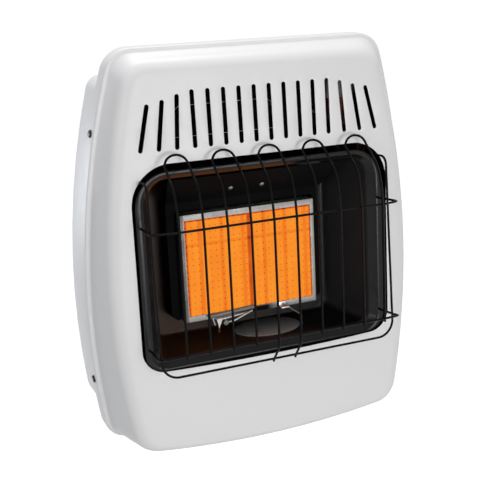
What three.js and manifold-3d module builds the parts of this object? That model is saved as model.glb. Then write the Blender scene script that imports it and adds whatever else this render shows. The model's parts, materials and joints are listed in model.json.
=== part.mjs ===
// Wall mounted infrared gas heater.
// Millimetres, +X to the viewer's right, +Y into the wall, +Z up.
// The origin is the middle of the wall bracket's back face, on the wall.
// The front of the heater leans back a little, so what sits behind the window is laid out
// in a leaning frame: x across, d inwards from the face, h upwards from the window's middle.

import * as THREE from 'three';
import { mergeVertices } from 'three/addons/utils/BufferGeometryUtils.js';
import Module from 'manifold-3d';

const wasm = await Module();
wasm.setup();

// ---- driving dimensions ----------------------------------------------------------------

const SHEET = 1.2;                 // sheet steel of the casing and the firebox
const SEAT = 0.3;                  // gap between two pieces that touch
const FIT = 0.4;                   // gap round a shank, tube or stem in its hole

// leaning frame of the front
const LEAN = THREE.MathUtils.degToRad(4.2);
const FACE_Y = -118.5;             // face of the panel at the window's middle
const FACE_Z = -14.6;              // height of the window's middle
const FACE_BOW = 1.3e-4;           // the face falls back by this times x squared
const TOP_LEAN = 0.04;             // extra lean of the face above the window
const TOP_LEAN_FROM = 125;
const TOP_LEAN_BLEND = 40;

// front panel: rim, the rear flange round it, and the drawn face
const RIM_HALF = 225;
const RIM_PEAK_Z = -56;            // height where the barrel sides are widest
const RIM_SIDE_R = 1016;
const RIM_TOP = 248;
const RIM_BOTTOM = -259;
const RIM_ARCH_R = 1530;           // arched bottom edge
const RIM_TOP_CORNER = 35;
const RIM_BOTTOM_CORNER = 31;
const RIM_Y = -69;                 // front of the flange
const RIM_BEND = 3;
const RETURN_DEPTH = 21;
const FLANGE_WIDTH = 5.4;
const FLANGE_WIDTH_BOTTOM = 2.5;
const WALL_DRAFT = 11.5;           // how far the side wall leans in from flange to roll
const WALL_TOP_DRAFT = 6.5;
const FACE_PEAK_Z = -37;
const FACE_SIDE_R = 950;
const ROLL_WIDTH = 17;
const ROLL_DEPTH = 11.4;
const ROLL_WIDTH_BOTTOM = 9;

// window and heat slots
const WINDOW_BORDER = 17.7;        // flat of the face beside the window
const WINDOW_TOP = 129.4;
const WINDOW_BOTTOM = -129.4;
const WINDOW_TOP_CORNER = 50;
const WINDOW_BOTTOM_CORNER = 29;
const WINDOW_ARCH_R = 5000;
const SLOT_EDGE = 67;              // from the rim's side in to the foot of the outermost slot
const SLOT_WIDTH = 4.7;
const SLOT_TOP = 213.9;
const SLOT_BOTTOM = 144.9;
const STRAIGHT_SLOTS = 10;
// the three outer slots of each side lean out and get shorter:
// [top x in pitches, drop of the top, bottom x in pitches]
const OUTER_SLOTS = [[5.44, 4.1, 5.635], [6.38, 9.6, 6.765], [7.32, 13.3, 7.9]];

// cabinet behind the panel
const CABINET_TOP = 210.8;
const CABINET_BOTTOM = -211.2;
const CABINET_TOP_CORNER = 19;
const CABINET_BOTTOM_CORNER = 22;
const CABINET_BACK_Y = -SEAT;
const BACK_FLANGE = 14;
const AIR_SLOTS = 8;
const AIR_SLOT_PITCH = 30;

// bright plate on the back plate, seen through the heat slots
const DEFLECTOR_HALF = 66;
const DEFLECTOR_LOW = 124;
const DEFLECTOR_TOP = 165;
const DEFLECTOR_SHOULDER = 22;
const DEFLECTOR_FALL = 3;

// wall bracket
const BRACKET_HALF = 150;
const BRACKET_HALF_HEIGHT = 75;
const BRACKET_PLATE = 1.5;
const HOOK_X = 50;
const HOOK_Z = 60;                 // top of the hooks' shelves, which carry the back plate
const HOOK_HALF = 16;
const HOOK_RISE = 8;
const HOOK_GAP = 0.4;
const WALL_SCREW_X = 125;
const WALL_SCREW_Z = 55;
const WALL_SCREW_R = 2.4;
const WALL_SCREW_HEAD_R = 5;
const WALL_SCREW_HEAD = 2;

// side screws
const SIDE_SCREW_Z = [149.5, -163.5];
const SIDE_SCREW_Y = -58.5;
const SIDE_SCREW_HEAD_R = 5;
const SIDE_SCREW_SHANK_R = 2.1;

// firebox, in the leaning frame
const BEZEL_REVEAL = 4.2;          // the bezel's side behind the window's side
const BEZEL_TOP = 120;
const BEZEL_BOTTOM = -131;
const BEZEL_D = 6.6;
const BEZEL_CORNER = 44;
const BEZEL_BOTTOM_CORNER = 26;
const BEZEL_FLANGE = 9;
const LIP_STEP = 19.7;             // from the bezel's side in to the lip
const LIP_TOP = 108.9;
const LIP_BOTTOM = -117.8;
const LIP_D = 15;
const LIP_DEPTH = 8;
const BACK_ROOM = 21.5;            // depth behind the tub at the window's middle, up to the wall
const TUB_SIDE_ROOM = 21.5;        // between the burner housing and the tub's side at the back

// burner, in the leaning frame
const TILE_WIDTH = 92;
const TILE_HEIGHT = 132;
const TILE_THICK = 12;
const TILE_GAP = 0.4;
const TILE_MID_H = -18.6;
const FRAME_LIP = 2.6;             // how far the frame covers the edge of the tiles
const FRAME_BORDER = 5.2;
const FRAME_BORDER_HIGH = 7.4;     // its border above and below the tiles
const GASKET = 3;
const PLENUM_DEPTH = 17.9;
const PLENUM_ROOM = 2.4;           // between the plenum's back and the tub's back
const HOUSING_SETBACK = 11.2;      // the burner stands this far out of its surround
const HOUSING_GAP = 3.7;           // black gap between the frame and the surround
const HOUSING_STRIP = 11;
const HOUSING_STRIP_TOP = 12.4;
const HOUSING_BOTTOM_RISE = 1.4;   // the surround ends this far above the frame's lower edge
const HOUSING_CORNER = 12;
const RIVET_X = [-27.8, 15.8];
const RIVET_R = 3.6;
const RIVET_T = 0.594;             // how far down the hood the rivets sit
const HOOD_FRONT_D = 18.5;
const HOOD_FRONT_H = 105.5;
const HOOD_FRONT_HALF = 122;
const DISC_X = 21.4;
const DISC_HALF = 47;
const DISC_HALF_DEPTH = 30;
const DISC_FRONT_ROOM = 11;        // from the lip's back edge to the disc

// channels between the tub and the back plate
const RAIL_X = 96;
const RAIL_HALF = 14;
const RAIL_LOW = -96;
const RAIL_HIGH = 88;

// mixing duct and injector
const DUCT_H = -52;
const DUCT_HALF_H = 16;
const DUCT_DEPTH = 12.4;
const DUCT_END_GAP = 12;           // from the valve's axis in to its open end
const DUCT_CLOSED_X = -22;
const PORT_R = 13;
const INJECTOR_GAP = 6;

// pilot and spark electrode before the plaque frame's lower border, in the leaning frame
const PILOT_LEFT_X = -64;
const PILOT_LENGTH = 63;
const PILOT_OUT = 5.8;             // its axis, in front of the plaque frame
const PILOT_LEFT_H = -84.1;
const PILOT_RISE = 3.6;            // of its right end over its left
const PILOT_R = 2.9;
const PILOT_STUB_R = 2.2;
const PILOT_NUT_X = -43;
const PILOT_NUT_DROP = 10.9;       // below the burner tube's left end
const PILOT_NUT_R = 3.4;
const PILOT_NUT_HALF = 4;
const PILOT_DROP = 20;             // its gas tube goes back this far before it drops
const PROBE_R = 1.3;
const SHELF_DROP = 3.1;            // of both brackets' shelves, below the pilot's left end
const SHELF_OUT = 12.5;
const BRACKET_SHEET = 1.4;
const ELECTRODE_X = 68.5;
const ELECTRODE_SHELF_INSET = 20.5;
const ELECTRODE_SHELF_WIDTH = 11;
const ELECTRODE_FOOT_H = -113;
const ELECTRODE_R = 1.1;
const LEAD_R = 1.6;
const LEAD_INSET = 15;             // its riser from the gas inlet's axis
const LEAD_Y = -54;
const PILOT_TUBE_Y = -42;
const PILOT_TUBE_INSET = 4;

// gas train in the cabinet's right side
const INLET_NECK_R = 8;
const VALVE_INSET = 38;            // from the gas inlet's axis to the valve's
const VALVE_Y = -30;
const VALVE_HALF_X = 20;
const VALVE_HALF_Y = 17;
const VALVE_HEIGHT = 42;
const VALVE_BOSS_R = 7;
const STEM_R = 3;
const KNOB_R = 17;
const KNOB_HEIGHT = 20;
const PRESS = 4;                   // travel of the knob and of the igniter button
const KNOB_LIFT = 9;               // the pressed knob's underside above the cabinet's top
const NUT_HEIGHT = 3.5;
const WASHER_HEIGHT = 1.2;
const IGNITER_INSET = 48;          // from the valve's axis to the igniter's
const IGNITER_R = 8;
const IGNITER_FLANGE_R = 12;
const IGNITER_LENGTH = 42;
const BUTTON_R = 5.5;
const BUTTON_RISE = 9;
const INLET_INSET = 47;            // from the rim's side to the gas inlet's axis
const INLET_Y = -34;
const REGULATOR_R = 21;
const REGULATOR_Z = -172;
const TUBE_R = 4;
const THIN_TUBE_R = 2.2;

// guard, in the leaning frame
const WIRE_R = 1.35;
const HAIRPINS = 5;
const OUTER_LEG_INSET = 25.35;     // from the frame rod's side in to the outermost leg
const GUARD_D = -51.5;
const LOOP_TOP_H = 140.8;
const LOOP_D = -9.5;
const LOOP_WAIST = 0.95;           // the loops are a little narrower than their legs
const UPPER_WIRE = { h: 56.5, tipH: 54.6, holeH: 53.7 };
const LOWER_WIRE = { h: -93.3, tipH: -98.2, holeH: -99.1 };
const WIRE_TIP_D = -30.5;          // where the cross wires turn back outside the frame rod
const LEG_END_H = -96.8;
const ROD_INSIDE_WINDOW = 12.6;    // the frame rod's side from the window's side
const FRAME_ROD_H = -125.3;
const FRAME_ROD_UP_D = -18;
const FRAME_ROD_LOW_D = -29;
const FRAME_ROD_CORNER = 22;
const ROD_PASS_ANGLE = THREE.MathUtils.degToRad(40);  // where it passes the window's corner
const ROD_END_ANGLE = THREE.MathUtils.degToRad(43);   // where its ends meet the bezel's corner
const HOLE_INSET = 7.2;            // the cross wires' holes from the bezel's side

// ---- what follows from them ------------------------------------------------------------

const WINDOW_HALF = RIM_HALF - FLANGE_WIDTH - WALL_DRAFT - ROLL_WIDTH - WINDOW_BORDER;
const SLOT_PITCH = (RIM_HALF - SLOT_EDGE) / OUTER_SLOTS[OUTER_SLOTS.length - 1][2];
const BEZEL_HALF = WINDOW_HALF - BEZEL_REVEAL;
const LIP_HALF = BEZEL_HALF - LIP_STEP;
const HOLE_X = BEZEL_HALF - HOLE_INSET;
const INLET_X = RIM_HALF - INLET_INSET;
const VALVE_X = INLET_X - VALVE_INSET;
const IGNITER_X = VALVE_X - IGNITER_INSET;
const DUCT_END_X = VALVE_X - DUCT_END_GAP;

const TILES_HALF = TILE_WIDTH + TILE_GAP / 2;
const TILES_TOP = TILE_MID_H + TILE_HEIGHT / 2;
const TILES_BOTTOM = TILE_MID_H - TILE_HEIGHT / 2;
const FRAME_HALF = TILES_HALF - FRAME_LIP + FRAME_BORDER;
const FRAME_TOP = TILES_TOP - FRAME_LIP + FRAME_BORDER_HIGH;
const FRAME_BOTTOM = TILES_BOTTOM + FRAME_LIP - FRAME_BORDER_HIGH;

// the burner's layers, from the tub's back forwards
const TUB_BACK_D = -FACE_Y - BACK_ROOM;
const PLENUM_BACK_D = TUB_BACK_D - PLENUM_ROOM;
const PLENUM_D = PLENUM_BACK_D - PLENUM_DEPTH;
const GASKET_D = PLENUM_D - SEAT - GASKET;
const TILE_D = GASKET_D - SEAT - TILE_THICK;
const FRAME_D = TILE_D - SEAT - 1;
const FRAME_BACK_D = PLENUM_D + 6;
const HOUSING_D = FRAME_D + HOUSING_SETBACK;
const HOUSING_HALF = FRAME_HALF + HOUSING_GAP + HOUSING_STRIP;
const HOUSING_TOP = FRAME_TOP + HOUSING_GAP + HOUSING_STRIP_TOP;
const HOUSING_BOTTOM = FRAME_BOTTOM + HOUSING_BOTTOM_RISE;
const TUB_BACK_HALF = HOUSING_HALF + TUB_SIDE_ROOM;
const PILOT_D = FRAME_D - PILOT_OUT;
const PILOT_NUT_H = PILOT_LEFT_H - PILOT_NUT_DROP;
const PILOT_TUBE_D = PILOT_D + PILOT_NUT_HALF + PILOT_DROP;
const SHELF_H = PILOT_LEFT_H - SHELF_DROP;

const FRAME_ROD_X = WINDOW_HALF - ROD_INSIDE_WINDOW;
const LEG_PITCH = (FRAME_ROD_X - OUTER_LEG_INSET) / (HAIRPINS - 0.5);
const ROD_SEAT = 2 * WIRE_R + SEAT;
const ROD_PASS = WINDOW_TOP_CORNER - WIRE_R - SEAT;
const ROD_PASS_X = WINDOW_HALF - WINDOW_TOP_CORNER + ROD_PASS * Math.cos(ROD_PASS_ANGLE);
const ROD_PASS_H = WINDOW_TOP - WINDOW_TOP_CORNER + ROD_PASS * Math.sin(ROD_PASS_ANGLE);

// ---- geometry helpers ------------------------------------------------------------------

function toSolid(geometry) {
  const bare = geometry.index ? geometry.toNonIndexed() : geometry.clone();
  bare.deleteAttribute('normal');
  bare.deleteAttribute('uv');
  const merged = mergeVertices(bare, 1e-4);
  const vertProperties = new Float32Array(merged.attributes.position.array);
  const triVerts = new Uint32Array(merged.index.array);
  return new wasm.Manifold(new wasm.Mesh({ numProp: 3, vertProperties, triVerts }));
}

function fromSolid(body) {
  const mesh = body.getMesh();
  const geometry = new THREE.BufferGeometry();
  geometry.setAttribute('position', new THREE.BufferAttribute(new Float32Array(mesh.vertProperties), 3));
  geometry.setIndex(new THREE.BufferAttribute(new Uint32Array(mesh.triVerts), 1));
  return geometry;
}

function cut(geometry, ...tools) {
  return fromSolid(tools.reduce((body, tool) => body.subtract(toSolid(tool)), toSolid(geometry)));
}

function join(geometry, ...others) {
  return fromSolid(others.reduce((body, other) => body.add(toSolid(other)), toSolid(geometry)));
}

// box from its two opposite corners
function block(x0, x1, y0, y1, z0, z1) {
  const box = new THREE.BoxGeometry(x1 - x0, y1 - y0, z1 - z0);
  return box.translate((x0 + x1) / 2, (y0 + y1) / 2, (z0 + z1) / 2);
}

// cylinder or cone from one point to another
function pin(from, to, radius, sides = 16, endRadius = radius) {
  const axis = new THREE.Vector3().subVectors(to, from);
  const body = new THREE.CylinderGeometry(endRadius, radius, axis.length(), sides);
  const turn = new THREE.Quaternion().setFromUnitVectors(vec(0, 1, 0), axis.clone().normalize());
  body.applyQuaternion(turn);
  const middle = new THREE.Vector3().addVectors(from, to).multiplyScalar(0.5);
  return body.translate(middle.x, middle.y, middle.z);
}

// turned piece along +Z: profile points are [radius, height]
function turned(profile, sides = 20) {
  const points = profile.map(([r, z]) => new THREE.Vector2(r, z));
  return new THREE.LatheGeometry(points, sides).rotateX(Math.PI / 2);
}

function vec(x, y, z) {
  return new THREE.Vector3(x, y, z);
}

// a curve that runs straight from each of its points to the next
class Route extends THREE.Curve {
  constructor(points) {
    super();
    this.points = points;
  }

  getPoint(t, target = new THREE.Vector3()) {
    const last = this.points.length - 1;
    const at = Math.min(Math.max(t, 0), 1) * last;
    const i = Math.min(Math.floor(at), last - 1);
    return target.lerpVectors(this.points[i], this.points[i + 1], at - i);
  }

  getPointAt(u, target) {
    return this.getPoint(u, target);
  }

  getTangentAt(u, target = new THREE.Vector3()) {
    const last = this.points.length - 1;
    const i = Math.round(u * last);
    const before = this.points[Math.max(i - 1, 0)];
    const after = this.points[Math.min(i + 1, last)];
    return target.subVectors(after, before).normalize();
  }
}

// round wire or tube through the points of a route
function wire(points, radius, sides = 6) {
  const section = new THREE.Shape();
  for (let i = 0; i < sides; i++) {
    const angle = (2 * Math.PI * i) / sides;
    const x = radius * Math.cos(angle);
    const y = radius * Math.sin(angle);
    if (i === 0) section.moveTo(x, y);
    else section.lineTo(x, y);
  }
  section.closePath();
  const route = new Route(points);
  const options = { steps: points.length - 1, extrudePath: route, curveSegments: 1 };
  return new THREE.ExtrudeGeometry(section, options);
}

// coil spring on the Z axis between two heights
function coil(radius, wireR, turns, low, high) {
  const steps = Math.round(turns * 10);
  const points = [];
  for (let i = 0; i <= steps; i++) {
    const angle = (2 * Math.PI * turns * i) / steps;
    const z = THREE.MathUtils.lerp(low + wireR, high - wireR, i / steps);
    points.push(new THREE.Vector3(radius * Math.cos(angle), radius * Math.sin(angle), z));
  }
  return wire(points, wireR, 5);
}

// corner points rounded off with arcs of a given radius
function rounded(corners, radius, arcSteps = 4) {
  const points = [corners[0]];
  for (let i = 1; i < corners.length - 1; i++) {
    const corner = corners[i];
    const back = new THREE.Vector3().subVectors(corners[i - 1], corner).normalize();
    const on = new THREE.Vector3().subVectors(corners[i + 1], corner).normalize();
    const half = back.angleTo(on) / 2;
    const reach = radius / Math.tan(half);
    const bisector = new THREE.Vector3().addVectors(back, on).normalize();
    const centre = corner.clone().addScaledVector(bisector, radius / Math.sin(half));
    const start = corner.clone().addScaledVector(back, reach).sub(centre);
    const end = corner.clone().addScaledVector(on, reach).sub(centre);
    const sweep = start.angleTo(end);
    const axis = new THREE.Vector3().crossVectors(start, end).normalize();
    for (let k = 0; k <= arcSteps; k++) {
      points.push(start.clone().applyAxisAngle(axis, (sweep * k) / arcSteps).add(centre));
    }
  }
  points.push(corners[corners.length - 1]);
  return points;
}

// the middle of an arc that touches two circles from the inside, on the right of the middle line
function filletCentre(a, aRadius, b, bRadius) {
  const gap = new THREE.Vector2().subVectors(b, a);
  const distance = gap.length();
  const along = (aRadius ** 2 - bRadius ** 2 + distance ** 2) / (2 * distance);
  const off = Math.sqrt(aRadius ** 2 - along ** 2);
  gap.normalize();
  const foot = a.clone().addScaledVector(gap, along);
  const one = new THREE.Vector2(foot.x - gap.y * off, foot.y + gap.x * off);
  const two = new THREE.Vector2(foot.x + gap.y * off, foot.y - gap.x * off);
  return one.x > two.x ? one : two;
}

function arcPoints(centre, radius, from, to, steps) {
  const points = [];
  for (let i = 0; i <= steps; i++) {
    const angle = from + ((to - from) * i) / steps;
    points.push(new THREE.Vector2(centre.x + radius * Math.cos(angle), centre.y + radius * Math.sin(angle)));
  }
  return points;
}

// barrel outline in x and z: arched bottom, bowed sides, straight top; anticlockwise from the bottom
function barrel({ half, peak, sideR, top, bottom, archR, topCorner, bottomCorner }) {
  const side = new THREE.Vector2(half - sideR, peak);
  const arch = new THREE.Vector2(0, bottom + archR);
  const low = filletCentre(side, sideR - bottomCorner, arch, archR - bottomCorner);
  const highZ = top - topCorner;
  const high = new THREE.Vector2(side.x + Math.sqrt((sideR - topCorner) ** 2 - (highZ - peak) ** 2), highZ);
  const lowArch = Math.atan2(low.y - arch.y, low.x - arch.x);
  const lowSide = Math.atan2(low.y - side.y, low.x - side.x);
  const highSide = Math.atan2(high.y - side.y, high.x - side.x);
  const right = [
    ...arcPoints(arch, archR, -Math.PI / 2, lowArch, 5),
    ...arcPoints(low, bottomCorner, lowArch, lowSide, 5).slice(1),
    ...arcPoints(side, sideR, lowSide, highSide, 9).slice(1),
    ...arcPoints(high, topCorner, highSide, Math.PI / 2, 5).slice(1),
    new THREE.Vector2(high.x / 2, top),
  ];
  const left = right.slice(1).reverse().map((p) => new THREE.Vector2(-p.x, p.y));
  return [...right, new THREE.Vector2(0, top), ...left];
}

// rectangle with its own top and bottom corner radii, anticlockwise from the bottom
function roundedFrame(half, bottom, top, topCorner, bottomCorner, steps = 5) {
  const low = new THREE.Vector2(half - bottomCorner, bottom + bottomCorner);
  const high = new THREE.Vector2(half - topCorner, top - topCorner);
  const right = [
    ...arcPoints(low, bottomCorner, -Math.PI / 2, 0, steps),
    ...arcPoints(high, topCorner, 0, Math.PI / 2, steps),
  ];
  const left = right.slice().reverse().map((p) => new THREE.Vector2(-p.x, p.y));
  return [...right, ...left];
}

function ringAt(outline, depth) {
  return outline.map((p) => vec(p.x, typeof depth === 'function' ? depth(p.x, p.y) : depth, p.y));
}

function pushStrip(triangles, a, b) {
  for (let i = 0; i < a.length; i++) {
    const j = (i + 1) % a.length;
    triangles.push(a[i], b[i], b[j], a[i], b[j], a[j]);
  }
}

function fromTriangles(triangles) {
  const geometry = new THREE.BufferGeometry().setFromPoints(triangles);
  return mergeVertices(geometry, 1e-5);
}

// closed band: each ring joined to the next and the last to the first
function band(rings) {
  const triangles = [];
  rings.forEach((ring, i) => pushStrip(triangles, ring, rings[(i + 1) % rings.length]));
  return fromTriangles(triangles);
}

// flat triangles of an outline with holes, as index triples, all anticlockwise
function fill(outline, holes = []) {
  const points = [...outline, ...holes.flat()];
  return THREE.ShapeUtils.triangulateShape(outline, holes).map(([i, j, k]) => {
    const area = (points[j].x - points[i].x) * (points[k].y - points[i].y)
      - (points[k].x - points[i].x) * (points[j].y - points[i].y);
    return area > 0 ? [i, j, k] : [i, k, j];
  });
}

// sheet between two depths, with holes; without an edge list it is closed by its own edge
function sheet(outline, holes, front, back, edgeRings = []) {
  const flat = [...outline, ...holes.flat()];
  const near = ringAt(flat, front);
  const far = ringAt(flat, back);
  const triangles = [];
  fill(outline, holes).forEach(([i, j, k]) => {
    triangles.push(near[i], near[j], near[k]);
    triangles.push(far[i], far[k], far[j]);
  });
  const count = outline.length;
  const rings = [near.slice(0, count), ...edgeRings, far.slice(0, count)];
  for (let i = 0; i + 1 < rings.length; i++) pushStrip(triangles, rings[i], rings[i + 1]);
  let start = count;
  holes.forEach((hole) => {
    const end = start + hole.length;
    pushStrip(triangles, far.slice(start, end), near.slice(start, end));
    start = end;
  });
  return fromTriangles(triangles);
}

// long hole with round ends between two points, anticlockwise
function slotOutline(top, bottom, width, steps = 3) {
  const tilt = Math.atan2(top.y - bottom.y, top.x - bottom.x) - Math.PI / 2;
  return [
    ...arcPoints(top, width / 2, tilt, tilt + Math.PI, steps),
    ...arcPoints(bottom, width / 2, tilt + Math.PI, tilt + 2 * Math.PI, steps),
  ];
}

// ---- the leaning frame -----------------------------------------------------------------

const leaning = new THREE.Matrix4().makeRotationX(-LEAN).setPosition(0, FACE_Y, FACE_Z);

// point of the leaning frame in the heater's frame
function lean(x, d, h) {
  return vec(x, d, h).applyMatrix4(leaning);
}

function leanAll(points) {
  return points.map(([x, d, h]) => lean(x, d, h));
}

// height in the leaning frame of a point of the heater
function faceHeight(y, z) {
  return vec(0, y, z).applyMatrix4(leaning.clone().invert()).z;
}

// how far the face lies behind the leaning plane
function faceDepth(x, h) {
  const over = Math.max(h - TOP_LEAN_FROM, 0);
  const blend = Math.min(over, TOP_LEAN_BLEND);
  return FACE_BOW * x * x + TOP_LEAN * (blend ** 2 / (2 * TOP_LEAN_BLEND) + (over - blend));
}

// y of the face at a point of the front view
function faceY(x, z) {
  let y = FACE_Y;
  for (let i = 0; i < 4; i++) {
    const h = faceHeight(y, z);
    y = lean(x, faceDepth(x, h), h).y;
  }
  return y;
}

// ---- front panel -----------------------------------------------------------------------

function rimOutline(inset, bottomInset = inset) {
  return barrel({
    half: RIM_HALF - inset,
    peak: RIM_PEAK_Z,
    sideR: RIM_SIDE_R - inset,
    top: RIM_TOP - inset,
    bottom: RIM_BOTTOM + bottomInset,
    archR: RIM_ARCH_R - bottomInset,
    topCorner: RIM_TOP_CORNER - inset,
    bottomCorner: RIM_BOTTOM_CORNER - bottomInset,
  });
}

function faceOutline(inset, bottomInset) {
  const wallHalf = RIM_HALF - FLANGE_WIDTH - WALL_DRAFT;
  const wallTop = RIM_TOP - FLANGE_WIDTH - WALL_TOP_DRAFT;
  return barrel({
    half: wallHalf - inset,
    peak: FACE_PEAK_Z,
    sideR: FACE_SIDE_R - inset,
    top: wallTop - inset,
    bottom: RIM_BOTTOM + FLANGE_WIDTH_BOTTOM + bottomInset,
    archR: RIM_ARCH_R - bottomInset,
    topCorner: RIM_TOP_CORNER - inset * 0.75,
    bottomCorner: RIM_BOTTOM_CORNER - bottomInset * 0.5,
  });
}

function windowOutline() {
  const arch = new THREE.Vector2(0, WINDOW_BOTTOM + WINDOW_ARCH_R);
  const lowX = WINDOW_HALF - WINDOW_BOTTOM_CORNER;
  const lowRise = Math.sqrt((WINDOW_ARCH_R - WINDOW_BOTTOM_CORNER) ** 2 - lowX ** 2);
  const low = new THREE.Vector2(lowX, arch.y - lowRise);
  const high = new THREE.Vector2(WINDOW_HALF - WINDOW_TOP_CORNER, WINDOW_TOP - WINDOW_TOP_CORNER);
  const lowArch = Math.atan2(low.y - arch.y, low.x - arch.x);
  const right = [
    ...arcPoints(arch, WINDOW_ARCH_R, -Math.PI / 2, lowArch, 5),
    ...arcPoints(low, WINDOW_BOTTOM_CORNER, lowArch, 0, 5).slice(1),
    ...arcPoints(high, WINDOW_TOP_CORNER, 0, Math.PI / 2, 7),
    new THREE.Vector2(high.x * 0.66, WINDOW_TOP),
    new THREE.Vector2(high.x * 0.33, WINDOW_TOP),
  ];
  const left = right.slice(1).reverse().map((p) => new THREE.Vector2(-p.x, p.y));
  return [...right, new THREE.Vector2(0, WINDOW_TOP), ...left];
}

// an outline given in the leaning frame, seen from straight in front
function onFront(outline) {
  return outline.map((p) => {
    const at = lean(p.x, faceDepth(p.x, p.y), p.y);
    return new THREE.Vector2(at.x, at.z);
  });
}

function slotOutlines() {
  const end = SLOT_WIDTH / 2;
  const slots = [];
  for (let i = 0; i < STRAIGHT_SLOTS; i++) {
    const x = (i - (STRAIGHT_SLOTS - 1) / 2) * SLOT_PITCH;
    slots.push([x, SLOT_TOP, x]);
  }
  OUTER_SLOTS.forEach(([top, drop, foot]) => {
    [-SLOT_PITCH, SLOT_PITCH].forEach((pitch) => slots.push([top * pitch, SLOT_TOP - drop, foot * pitch]));
  });
  return slots.map(([topX, topH, bottomX]) => {
    const top = new THREE.Vector2(topX, topH - end);
    const bottom = new THREE.Vector2(bottomX, SLOT_BOTTOM + end);
    return onFront(slotOutline(top, bottom, SLOT_WIDTH));
  });
}

const ROLL_TURN = THREE.MathUtils.degToRad(67);

// the panel's section as rings, from the flat of the face round to the edge of the return
function panelRings(offset) {
  const rings = [];
  const rollSteps = 4;
  for (let i = 1; i <= rollSteps; i++) {
    const turn = (ROLL_TURN * i) / rollSteps;
    const out = Math.sin(turn) / Math.sin(ROLL_TURN);
    const outBottom = Math.sin((Math.PI / 2) * (i / rollSteps));
    const down = (1 - Math.cos(turn)) / (1 - Math.cos(ROLL_TURN));
    const outline = faceOutline(
      ROLL_WIDTH * (1 - out) + offset * Math.sin(turn),
      ROLL_WIDTH_BOTTOM * (1 - outBottom) + offset * outBottom,
    );
    rings.push(ringAt(outline, (x, z) => faceY(x, z) + ROLL_DEPTH * down + offset * Math.cos(turn)));
  }
  rings.push(ringAt(rimOutline(FLANGE_WIDTH + offset * 0.8, FLANGE_WIDTH_BOTTOM + offset), RIM_Y + offset));
  for (let i = 0; i <= 2; i++) {
    const turn = (Math.PI / 4) * i;
    const radius = RIM_BEND - offset;
    const inset = RIM_BEND - radius * Math.sin(turn);
    const bottomInset = Math.min(inset, FLANGE_WIDTH_BOTTOM * 0.9);
    const y = RIM_Y + RIM_BEND - radius * Math.cos(turn);
    rings.push(ringAt(rimOutline(inset, i === 2 ? inset : bottomInset), y));
  }
  rings.push(ringAt(rimOutline(offset), RIM_Y + RETURN_DEPTH));
  return rings;
}

// point on a screw's axis, square to the barrel side, at a depth under the rim
function sidePoint(side, z, inset) {
  const rise = Math.asin((z - RIM_PEAK_Z) / RIM_SIDE_R);
  const radius = RIM_SIDE_R - inset;
  const x = RIM_HALF - RIM_SIDE_R + radius * Math.cos(rise);
  return vec(side * x, SIDE_SCREW_Y, RIM_PEAK_Z + radius * Math.sin(rise));
}

function sideScrewHoles(radius) {
  return [-1, 1].flatMap((side) => SIDE_SCREW_Z.map((z) => pin(
    sidePoint(side, z, 20), sidePoint(side, z, -20), radius, 12)));
}

function frontPanel() {
  const outline = faceOutline(ROLL_WIDTH, ROLL_WIDTH_BOTTOM);
  const holes = [onFront(windowOutline()), ...slotOutlines()];
  const edge = [...panelRings(0), ...panelRings(SHEET).reverse()];
  const body = sheet(outline, holes, faceY, (x, z) => faceY(x, z) + SHEET, edge);
  return cut(body, ...sideScrewHoles(SIDE_SCREW_SHANK_R + FIT));
}

// ---- cabinet ---------------------------------------------------------------------------

const CABINET_INSET = SHEET + 1.2;
const CABINET_FLAT_R = 1e5;        // its bottom is as good as flat

function cabinetOutline(inset) {
  return barrel({
    half: RIM_HALF - CABINET_INSET - inset,
    peak: RIM_PEAK_Z,
    sideR: RIM_SIDE_R - CABINET_INSET - inset,
    top: CABINET_TOP - inset,
    bottom: CABINET_BOTTOM + inset,
    archR: CABINET_FLAT_R,
    topCorner: CABINET_TOP_CORNER - inset * 0.5,
    bottomCorner: CABINET_BOTTOM_CORNER - inset * 0.5,
  });
}

const CABINET_FRONT_Y = RIM_Y + SHEET + 2 * SEAT;

function airSlots() {
  const slots = [];
  for (let i = 0; i < AIR_SLOTS; i++) {
    const x = (i - (AIR_SLOTS - 1) / 2) * AIR_SLOT_PITCH - 20;
    slots.push(block(x - 9, x + 9, -46, -38, CABINET_BOTTOM - 5, CABINET_BOTTOM + 5));
    slots.push(block(x - 9, x + 9, -28, -20, CABINET_BOTTOM - 5, CABINET_BOTTOM + 5));
  }
  return slots;
}

function cabinetShell() {
  const body = band([
    ringAt(cabinetOutline(SHEET), CABINET_FRONT_Y),
    ringAt(cabinetOutline(0), CABINET_FRONT_Y),
    ringAt(cabinetOutline(0), CABINET_BACK_Y),
    ringAt(cabinetOutline(BACK_FLANGE), CABINET_BACK_Y),
    ringAt(cabinetOutline(BACK_FLANGE), CABINET_BACK_Y - SHEET),
    ringAt(cabinetOutline(SHEET), CABINET_BACK_Y - SHEET),
  ]);
  const through = (x, y, z, radius) => pin(vec(x, y, z - 6), vec(x, y, z + 6), radius, 20);
  return cut(
    body,
    ...sideScrewHoles(SIDE_SCREW_SHANK_R + FIT),
    through(VALVE_X, VALVE_Y, CABINET_TOP, VALVE_BOSS_R + FIT),
    through(IGNITER_X, VALVE_Y, CABINET_TOP, IGNITER_R + FIT),
    through(INLET_X, INLET_Y, CABINET_BOTTOM, INLET_NECK_R + FIT),
    ...airSlots(),
  );
}

// back plate, in front of the cabinet's rear flange
const PLATE_BACK_Y = CABINET_BACK_Y - SHEET - SEAT;
const PLATE_FRONT_Y = PLATE_BACK_Y - SHEET;

// the bracket's screws, as [x, z]
const WALL_SCREWS = [-1, 1].flatMap((a) => [-1, 1].map((b) => [a * WALL_SCREW_X, b * WALL_SCREW_Z]));

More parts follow.
